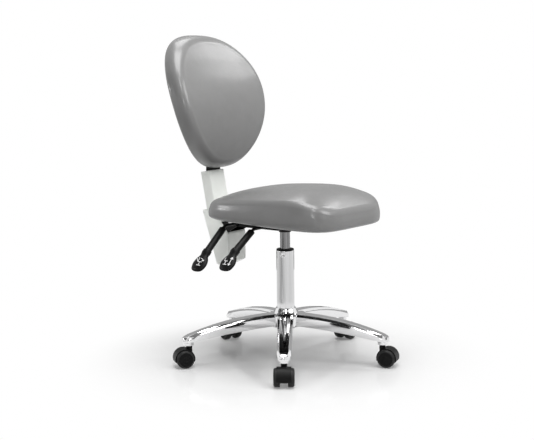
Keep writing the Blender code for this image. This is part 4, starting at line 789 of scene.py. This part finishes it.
def staked(point):
    """A point of the wall, pushed in near the stake marks."""
    heading = math.atan2(point[1], point[0])
    push = 0.0
    for mark in STAKE_HEADINGS:
        turn = (heading - math.radians(mark) + math.pi) % (2 * math.pi) - math.pi
        across = turn * COLUMN_RADIUS / STAKE_STRETCH
        away = (across**2 + (point[2] - STAKE_HEIGHT) ** 2) / STAKE_SIZE**2
        push += STAKE_DEPTH * math.exp(-away)
    share = 1.0 - push / COLUMN_RADIUS
    return (point[0] * share, point[1] * share, point[2])


outside = [
    (COLUMN_RADIUS - COLUMN_TAPER, COLUMN_BOTTOM),
    (COLUMN_RADIUS - COLUMN_TAPER, HUB_BOTTOM),
    (COLUMN_RADIUS, HUB_TOP),
    (COLUMN_RADIUS, 0.200),
    (COLUMN_RADIUS, 0.286),
]
for step in range(STAKE_BAND_RINGS):
    outside.append((COLUMN_RADIUS, STAKE_BAND_START + STAKE_BAND_STEP * step))
lip = [
    (COLUMN_RADIUS, COLUMN_TOP - 0.0010),
    (COLUMN_RADIUS - 0.0002, COLUMN_TOP - 0.0004),
    (COLUMN_RADIUS - 0.0006, COLUMN_TOP),
]
inside_radius = COLUMN_RADIUS - COLUMN_TAPER - COLUMN_WALL
inside = [
    (inside_radius, COLUMN_TOP),
    (inside_radius, COLUMN_BOTTOM + COLUMN_FLOOR),
    (ROD_HOLE_RADIUS, COLUMN_BOTTOM + COLUMN_FLOOR),
    (ROD_HOLE_RADIUS, COLUMN_BOTTOM),
]
wall = [[staked(point) for point in ring] for ring in turned_rings(outside, COLUMN_STEPS)]
tube_rings = wall + turned_rings(lip + inside, COLUMN_STEPS)
tube_mesh = lofted("column_outer", tube_rings)
tube = add_piece("column_outer", tube_mesh, chrome, "base", 30.0)
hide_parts("column_tube")
print("column:", len(STAKE_HEADINGS), "stake marks")

# %% [markdown]
# ## Wheels
#
# A twin-wheel caster has two moulded wheels with a dark grey tread round a black disc. The frame's wheels
# have flats, which is fine for contact. Here each wheel is turned with a round tread and a stepped face.

# %% Wheels
WHEEL_RADIUS = 0.025
WHEEL_GAP = 0.021
WHEEL_WIDTH = 0.017
WHEEL_STEPS = 72
DISC_RADIUS = 0.0192
DISC_CLEARANCE = 0.002
CASTER_COUNT = 5
CASTER_CIRCLE = 0.280
CASTER_TRAIL = 0.0155
FIRST_LEG_HEADING = 216.7

inner = WHEEL_GAP / 2
outer = inner + WHEEL_WIDTH
wheel_profile = [
    (0.0045, inner + 0.0005),
    (0.0075, inner),
    (0.0235, inner),
    (0.0246, inner + 0.0004),
    (WHEEL_RADIUS, inner + 0.0015),
    (WHEEL_RADIUS, outer - 0.0070),
    (0.0247, outer - 0.0045),
    (0.0239, outer - 0.0024),
    (0.0226, outer - 0.0009),
    (0.0208, outer - 0.0001),
    (0.0198, outer),
    (0.0192, outer - 0.0004),
    (0.0189, outer - 0.0013),
    (0.0180, outer - 0.0016),
    (0.0120, outer - 0.0012),
    (0.0075, outer - 0.0011),
    (0.0068, outer - 0.0004),
    (0.0055, outer - 0.0001),
    (0.0010, outer),
]

wheel_mesh = lofted("wheel", turned_rings(wheel_profile, WHEEL_STEPS))
wheel_mesh.transform(Matrix.Rotation(-math.pi / 2, 4, "X"))
wheel_mesh.materials.append(tread)
wheel_mesh.materials.append(black_plastic)
for polygon in wheel_mesh.polygons:
    middle = polygon.center
    reach = math.hypot(middle.x, middle.z)
    on_disc = reach < DISC_RADIUS and middle.y > inner + DISC_CLEARANCE
    polygon.material_index = 1 if on_disc else 0

for index in range(CASTER_COUNT):
    heading = math.radians(FIRST_LEG_HEADING + index * 360.0 / CASTER_COUNT)
    reach = CASTER_CIRCLE + CASTER_TRAIL
    place = Matrix.Translation((reach * math.cos(heading), reach * math.sin(heading), WHEEL_RADIUS))
    for side, turn in (("left", 0.0), ("right", math.pi)):
        node = f"wheel_{side}_{index + 1}"
        mesh = wheel_mesh.copy()
        mesh.transform(place @ Matrix.Rotation(heading + turn, 4, "Z"))
        wheel = bpy.data.objects.new(f"turned_{node}", mesh)
        bpy.context.scene.collection.objects.link(wheel)
        mesh.shade_smooth()
        mesh.set_sharp_from_angle(angle=math.radians(SHARP_ANGLE))
        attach(wheel, node)
        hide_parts(node)
print("wheels:", 2 * CASTER_COUNT)

# %% [markdown]
# ## Studio
#
# The chair stands on a flat white floor under soft boxes. The floor takes the chair's shadow near by and
# fades to plain white further out, so that it meets the white world without a line. A curved paper sweep
# would do the same, but its bend would show in the chrome.

# %% Floor
FLOOR_SIZE = 6.0
FLOOR_DROP = 0.0005
FADE_START = 0.18
FADE_END = 0.62
floor_mesh = bpy.data.meshes.new("floor")
floor_shape = bmesh.new()
bmesh.ops.create_grid(floor_shape, x_segments=1, y_segments=1, size=FLOOR_SIZE)
floor_shape.to_mesh(floor_mesh)
floor_shape.free()
floor = bpy.data.objects.new("floor", floor_mesh)
floor.location = (0.0, 0.0, -FLOOR_DROP)
bpy.context.scene.collection.objects.link(floor)

floor_finish, floor_shader = new_finish("white_floor", neutral(0.66), 0.12)
floor_shader.inputs["Specular IOR Level"].default_value = 0.22
place = add_node(floor_finish, "ShaderNodeTexCoord")
reach = add_node(floor_finish, "ShaderNodeVectorMath", operation="LENGTH")
fade = add_node(
    floor_finish,
    "ShaderNodeMapRange",
    {"From Min": FADE_START, "From Max": FADE_END, "To Min": 0.0, "To Max": 1.0},
    interpolation_type="SMOOTHSTEP",
)
white = add_node(floor_finish, "ShaderNodeEmission", {"Color": (1.0, 1.0, 1.0, 1.0), "Strength": 1.0})
path = add_node(floor_finish, "ShaderNodeLightPath")
seen = add_node(floor_finish, "ShaderNodeMath", operation="MAXIMUM")
seen_and_far = add_node(floor_finish, "ShaderNodeMath", operation="MULTIPLY")
blend = add_node(floor_finish, "ShaderNodeMixShader")
wire(floor_finish, place.outputs["Object"], reach.inputs[0])
wire(floor_finish, reach.outputs["Value"], fade.inputs["Value"])
wire(floor_finish, path.outputs["Is Camera Ray"], seen.inputs[0])
wire(floor_finish, path.outputs["Is Glossy Ray"], seen.inputs[1])
wire(floor_finish, seen.outputs["Value"], seen_and_far.inputs[0])
wire(floor_finish, fade.outputs["Result"], seen_and_far.inputs[1])
wire(floor_finish, seen_and_far.outputs["Value"], blend.inputs["Fac"])
wire(floor_finish, floor_shader.outputs["BSDF"], blend.inputs[1])
wire(floor_finish, white.outputs["Emission"], blend.inputs[2])
surface = floor_finish.node_tree.nodes["Material Output"].inputs["Surface"]
wire(floor_finish, blend.outputs["Shader"], surface)
floor_mesh.materials.append(floor_finish)
print("floor:", 2 * FLOOR_SIZE, "m square")

# %% World
AMBIENT = 0.12
world = bpy.data.worlds.new("white_studio")
bpy.context.scene.world = world
world.use_nodes = True
tree = world.node_tree
ambient = tree.nodes["Background"]
ambient.inputs["Color"].default_value = (1.0, 1.0, 1.0, 1.0)
ambient.inputs["Strength"].default_value = AMBIENT
backdrop = tree.nodes.new("ShaderNodeBackground")
backdrop.inputs["Color"].default_value = (1.0, 1.0, 1.0, 1.0)
backdrop.inputs["Strength"].default_value = 1.0
path = tree.nodes.new("ShaderNodeLightPath")
camera_or_glossy = tree.nodes.new("ShaderNodeMath")
camera_or_glossy.operation = "MAXIMUM"
any_seen = tree.nodes.new("ShaderNodeMath")
any_seen.operation = "MAXIMUM"
either = tree.nodes.new("ShaderNodeMixShader")
tree.links.new(path.outputs["Is Camera Ray"], camera_or_glossy.inputs[0])
tree.links.new(path.outputs["Is Glossy Ray"], camera_or_glossy.inputs[1])
tree.links.new(camera_or_glossy.outputs["Value"], any_seen.inputs[0])
tree.links.new(path.outputs["Is Transmission Ray"], any_seen.inputs[1])
tree.links.new(any_seen.outputs["Value"], either.inputs["Fac"])
tree.links.new(ambient.outputs["Background"], either.inputs[1])
tree.links.new(backdrop.outputs["Background"], either.inputs[2])
tree.links.new(either.outputs["Shader"], tree.nodes["World Output"].inputs["Surface"])
print("world: white, with an ambient level of", AMBIENT)

# %% [markdown]
# ## Camera and lamps
#
# The camera stands off the sitter's right front, a little below the backrest's top, with a long lens.
# Places in the studio are given as the camera sees them. The key light is high on the right and a little
# nearer than the chair, and the largest box hangs overhead. Two small boxes, to the right and behind, draw
# the glow and the rim on the upholstery, and a broader one hangs high behind. On the near side are a narrow
# high box and a small low one, and a flat box stands low on the left, where the levers are.

# %% Camera
CAMERA_PLACE = (-2.634, -2.058, 0.864)
CAMERA_HEADING = -51.146
CAMERA_TILT = 7.970
CAMERA_ROLL = -0.756
LENS = 81.54

camera_data = bpy.data.cameras.new("camera")
camera_data.sensor_width = 36.0
camera_data.sensor_fit = "HORIZONTAL"
camera_data.lens = LENS
camera = bpy.data.objects.new("camera", camera_data)
bpy.context.scene.collection.objects.link(camera)
camera.matrix_world = (
    Matrix.Translation(CAMERA_PLACE)
    @ Matrix.Rotation(math.radians(CAMERA_HEADING), 4, "Z")
    @ Matrix.Rotation(math.radians(90.0 - CAMERA_TILT), 4, "X")
    @ Matrix.Rotation(math.radians(CAMERA_ROLL), 4, "Z")
)
bpy.context.scene.camera = camera
bpy.context.scene.view_settings.view_transform = "Standard"

IMAGE_RIGHT = Vector((0.616, -0.788, 0.0))
TO_CAMERA = Vector((-0.788, -0.616, 0.0))
UP = Vector((0.0, 0.0, 1.0))


def studio_place(right, near, height):
    """A place given as seen from the camera: to the right, nearer and up, in metres."""
    return IMAGE_RIGHT * right + TO_CAMERA * near + UP * height


# %% Lamps
AIM = Vector((0.0, 0.0, 0.5))


def add_soft_box(name, place, width, height, watts):
    """A soft box that faces the chair."""
    data = bpy.data.lights.new(name, "AREA")
    data.shape = "RECTANGLE"
    data.size = width
    data.size_y = height
    data.energy = watts
    lamp = bpy.data.objects.new(name, data)
    lamp.location = place
    lamp.rotation_euler = (AIM - place).to_track_quat("-Z", "Y").to_euler()
    bpy.context.scene.collection.objects.link(lamp)


add_soft_box("key", studio_place(1.8, 0.9, 1.9), 1.4, 1.2, 32.0)
add_soft_box("glow", studio_place(1.6, -1.05, 1.9), 0.4, 0.4, 3.0)
add_soft_box("rim", studio_place(1.3, -1.3, 2.25), 0.5, 0.5, 6.0)
add_soft_box("overhead", studio_place(0.0, 0.3, 2.9), 1.7, 1.7, 70.0)
add_soft_box("back", studio_place(-0.3, -1.3, 2.7), 1.0, 1.0, 14.0)
add_soft_box("front", studio_place(0.1, 2.0, 2.4), 0.3, 1.0, 20.0)
add_soft_box("corner", studio_place(-0.45, 2.4, 0.95), 0.4, 0.4, 6.0)
add_soft_box("left", studio_place(-2.1, 0.05, 0.80), 0.5, 0.16, 5.0)
print("lamps: eight soft boxes")

# %% [markdown]
# ## Cards
#
# Polished metal shows what stands round it: the floor, the walls and the ceiling of the studio. Plain grey
# cards stand for them here. Only reflections show the cards, so they neither light nor shade the chair. A
# picture of a real room would give richer mirrors, but cards can be set one by one and need no image.

# %% Cards
FLOOR_CARD_REACH = 1.55
FLOOR_CARD_WIDTH = 0.8
FLOOR_CARD_LENGTH = 1.6
FIRST_FLOOR_CARD = -130
BACK_CARD_REACH = 1.4
BACK_CARD_WIDTH = 0.74
BACK_CARD_HEADINGS = (155, 180, 205)
# Each band of the low back: the height of its middle, its own height and its grey
BACK_CARD_BANDS = {"card": (0.425, 0.55, 0.40), "foot": (0.075, 0.15, 0.12)}


def add_card(name, place, width, height, grey):
    """A plain card that only mirrors see, facing the chair."""
    mesh = bpy.data.meshes.new(name)
    shape = bmesh.new()
    bmesh.ops.create_grid(shape, x_segments=1, y_segments=1, size=0.5)
    bmesh.ops.scale(shape, verts=shape.verts, vec=(width, height, 1.0))
    shape.to_mesh(mesh)
    shape.free()
    finish = bpy.data.materials.new(f"{name}_grey")
    finish.use_nodes = True
    glow = add_node(finish, "ShaderNodeEmission", {"Color": (grey, grey, grey, 1.0), "Strength": 1.0})
    wire(finish, glow.outputs["Emission"], finish.node_tree.nodes["Material Output"].inputs["Surface"])
    mesh.materials.append(finish)
    card = bpy.data.objects.new(name, mesh)
    card.location = place
    card.rotation_euler = (AIM - place).to_track_quat("Z", "Y").to_euler()
    bpy.context.scene.collection.objects.link(card)
    card.visible_camera = False
    card.visible_diffuse = False
    card.visible_shadow = False
    return card


def floor_place(degrees, reach):
    """A place on the floor, at a heading counted from the camera's side towards the right."""
    angle = math.radians(degrees)
    return studio_place(reach * math.sin(angle), reach * math.cos(angle), 0.0)


# %% Set up the cards
FLOOR_GREYS = {
    FIRST_FLOOR_CARD: 0.82,
    -100: 0.75,
    -72: 0.58,
    -50: 0.42,
    -28: 0.66,
    0: 0.80,
    30: 0.86,
    60: 0.81,
    90: 0.86,
    120: 0.90,
}
for degrees, grey in FLOOR_GREYS.items():
    name = f"floor_card_{degrees - FIRST_FLOOR_CARD}"
    place = floor_place(degrees, FLOOR_CARD_REACH)
    card = add_card(name, place, FLOOR_CARD_WIDTH, FLOOR_CARD_LENGTH, grey)
    outwards = floor_place(degrees, 1.0)
    card.rotation_euler = (0.0, 0.0, math.atan2(-outwards.x, outwards.y))
for degrees in BACK_CARD_HEADINGS:
    place = floor_place(degrees, BACK_CARD_REACH)
    for band, (middle_height, band_height, grey) in BACK_CARD_BANDS.items():
        name = f"back_{band}_{degrees}"
        card = add_card(name, place + UP * middle_height, BACK_CARD_WIDTH, band_height, grey)
        card.rotation_euler = (-place).to_track_quat("Z", "Y").to_euler()
add_card("back_wall", studio_place(0.0, -3.2, 1.6), 6.0, 2.6, 0.40)
add_card("left_wall", studio_place(-2.8, 1.2, 1.6), 3.0, 2.0, 0.16)
add_card("camera_wall", studio_place(0.0, 4.4, 1.6), 5.0, 2.4, 0.22)
add_card("right_wall", studio_place(3.2, 1.6, 1.6), 3.0, 2.0, 0.25)
add_card("ceiling", studio_place(0.0, 0.0, 3.4), 6.5, 6.5, 0.22)
print("cards: a fan on the floor, a low back, four walls and a ceiling")
